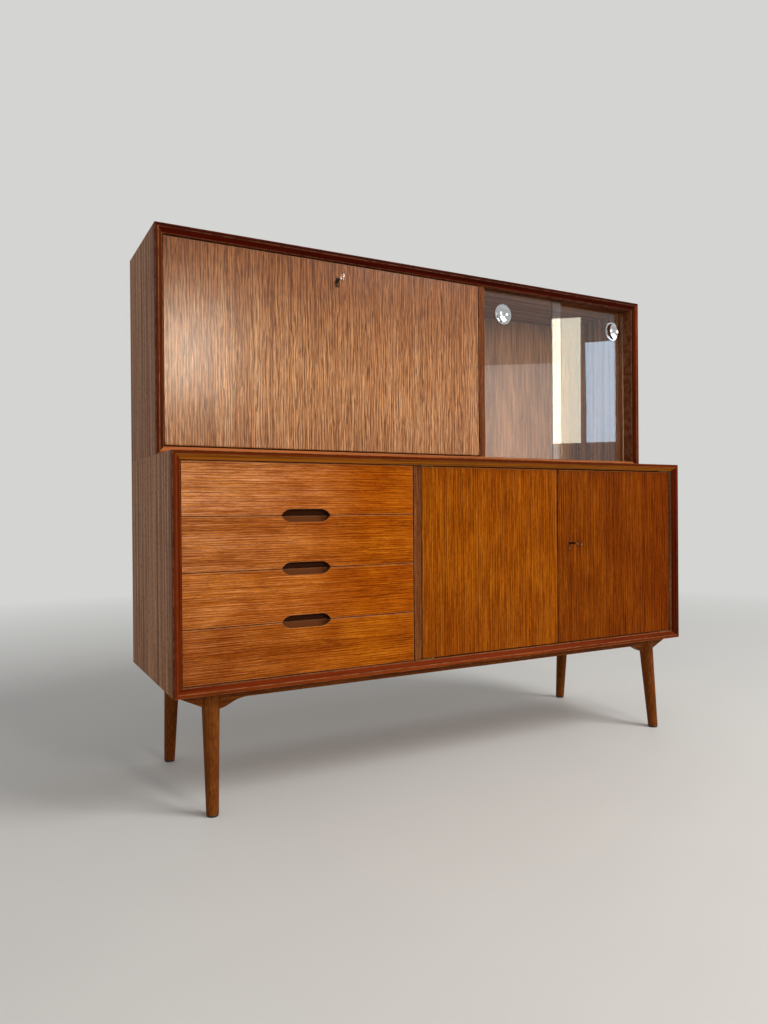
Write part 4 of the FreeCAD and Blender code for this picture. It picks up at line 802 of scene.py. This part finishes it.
# Slotted screws, one head modelled and copied to the plates, lock cases and brackets, set by body
screwForm = {"radius": 0.0027, "sides": 28, "base": 0.0003, "rim": 0.00018, "rimStep": 0.0006,
             "crown": 0.00012, "crownStep": 0.0009, "slot": 0.0007, "blade": 0.0081, "cut": 0.00035,
             "turn": (0.7, 1.9), "smooth": 30}
screwTurns = {"+Z": (0, 0), "-Z": (math.pi, 0), "+X": (0, math.pi / 2), "-X": (0, -math.pi / 2),
              "+Y": (-math.pi / 2, 0)}
screwInsets = {                               # from the ends and edges of the plates that they hold
    "pivot": (0.019, 0.030), "pivotFace": 0.0012, "strike": 0.0047, "lockSide": 0.0070, "lockFoot": 0.0060,
    "lockBoltEnd": 0.0085, "bracketSide": 0.01065, "bracketFace": 0.0020, "bracketEnd": 0.0060,
    "keeperSide": 0.00925, "keeperEnd": 0.0055,
}


def pivotScrews():
    face, steps = screwInsets["pivotFace"], screwInsets["pivot"]
    low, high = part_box("door_pivot_plates")
    y = (low[1] + high[1]) / 2
    for row in ([low[0] + step for step in steps], [high[0] - step for step in steps]):
        for z, facing in ((low[2] + face, "+Z"), (high[2] - face, "-Z")):
            for x in row:
                yield (x, y, z), facing
    low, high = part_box("flap_pivot_plates")
    y = (low[1] + high[1]) / 2
    for x, facing in ((low[0] + face, "+X"), (high[0] - face, "-X")):
        for step in steps:
            yield (x, y, low[2] + step), facing
    low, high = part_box("flap_strike_plate")
    y = (low[1] + high[1]) / 2
    for x in (low[0] + screwInsets["strike"], high[0] - screwInsets["strike"]):
        yield (x, y, low[2]), "-Z"


def flapScrews():
    low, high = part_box("flap_lock_case")
    for z in (low[2] + screwInsets["lockFoot"], high[2] - screwInsets["lockBoltEnd"]):
        for x in (low[0] + screwInsets["lockSide"], high[0] - screwInsets["lockSide"]):
            yield (x, high[1], z), "+Y"
    low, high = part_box("stay_brackets")
    for x in (low[0] + screwInsets["bracketSide"], high[0] - screwInsets["bracketSide"]):
        for z in (low[2] + screwInsets["bracketEnd"], high[2] - screwInsets["bracketEnd"]):
            yield (x, low[1] + screwInsets["bracketFace"], z), "+Y"


def keeperScrews():
    low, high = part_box("door_keeper")
    for z in (low[2] + screwInsets["keeperEnd"], high[2] - screwInsets["keeperEnd"]):
        yield (low[0] + screwInsets["keeperSide"], high[1], z), "+Y"


def doorLockScrews():
    low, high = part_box("door_lock_case")
    for x in (low[0] + screwInsets["lockBoltEnd"], high[0] - screwInsets["lockFoot"]):
        for z in (low[2] + screwInsets["lockSide"], high[2] - screwInsets["lockSide"]):
            yield (x, high[1], z), "+Y"


def slottedHead():
    startPiece()
    bpy.ops.mesh.primitive_cylinder_add(vertices=screwForm["sides"], radius=screwForm["radius"],
                                        depth=screwForm["base"] * 2)
    head = settle()
    bpy.ops.object.mode_set(mode="EDIT")
    bpy.ops.mesh.select_mode(type="FACE")
    for part in ("rim", "crown"):
        pickFaces(head, lambda face: face.center.z > 0 and len(face.vertices) == screwForm["sides"])
        bpy.ops.mesh.inset(thickness=screwForm[part + "Step"], depth=screwForm[part])
    bpy.ops.object.mode_set(mode="OBJECT")
    top = screwForm["base"] + screwForm["rim"] + screwForm["crown"]
    startPiece()
    bpy.ops.mesh.primitive_cube_add(size=1, location=(0, 0, top),
                                    scale=(screwForm["slot"], screwForm["blade"], screwForm["cut"] * 2))
    blade = settle()
    takeUp(head)
    cut = head.modifiers.new("slot", "BOOLEAN")
    cut.operation = "DIFFERENCE"
    cut.object = blade
    bpy.ops.object.modifier_apply(modifier="slot")
    bpy.data.objects.remove(blade)
    return head


screw = slottedHead()
screwSets = {"case": pivotScrews, "flap": flapScrews, "left_door": keeperScrews, "right_door": doorLockScrews}
for body, places in screwSets.items():
    heads = []
    for number, (spot, facing) in enumerate(places()):
        takeUp(screw)
        bpy.ops.object.duplicate(linked=False)
        head = bpy.context.object
        first, step = screwForm["turn"]       # no two slots stand alike
        head.rotation_mode = "ZYX"
        head.rotation_euler = (*screwTurns[facing], first + step * number)
        head.location = spot
        heads.append(settle())
    print("screws on", body + ":", len(heads))
    heads = joinPieces(heads, body + "_screws", screwForm["smooth"], metals["agedBrass"])
    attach(heads, body)
bpy.data.objects.remove(screw)

# Glides: dark plastic, scuffed
glideLook = {"new": (0.012, 0.010, 0.009), "scuffed": (0.060, 0.054, 0.048), "scale": 420.0,
             "stretch": (1.0, 1.0, 0.3), "spread": (0.50, 0.75), "rough": (0.45, 0.3),
             "relief": 0.2, "depth": 0.0002}
glide = finish("glidePlastic")
scuff = glide.noise(glide.place(), glideLook["scale"], glideLook["stretch"], detail=4.0)
scuff = scuff.rise(*glideLook["spread"])
smooth, rougher = glideLook["rough"]
dress("foot_glides", glide.surface(Base_Color=glide.mix(scuff, glideLook["new"], glideLook["scuffed"]),
                                   Roughness=smooth + scuff * rougher,
                                   Normal=glide.bump(glideLook["relief"], glideLook["depth"], scuff)))
print("fittings dressed")

# Sliding panes: clear glass, faintly green, with a little haze and finger marks
paneLook = {"tint": (0.955, 0.975, 0.962), "through": (0.93, 0.95, 0.94), "haze": 0.025, "index": 1.5,
            "markScale": 22.0, "markSpread": (0.55, 0.85)}
for side in ("left", "right"):
    pane = finish(f"{side}_pane_glass")
    marks = pane.noise(pane.place(), paneLook["markScale"], detail=5.0, rough=0.6)
    marks = marks.rise(*paneLook["markSpread"])
    clear = pane.node("ShaderNodeBsdfPrincipled", {},
                      {"Base Color": paneLook["tint"], "Transmission Weight": 1.0, "IOR": paneLook["index"],
                       "Roughness": marks * paneLook["haze"]})
    through = pane.node("ShaderNodeBsdfTransparent", {}, {"Color": paneLook["through"]})
    shadow = pane.node("ShaderNodeLightPath", {}, {}, "Is Shadow Ray")
    mixed = pane.node("ShaderNodeMixShader", {}, {0: shadow, 1: clear, 2: through})
    pane.node("ShaderNodeOutputMaterial", {}, {"Surface": mixed})
    dress(f"{side}_glass_pane", pane.owner)
print("glass dressed")
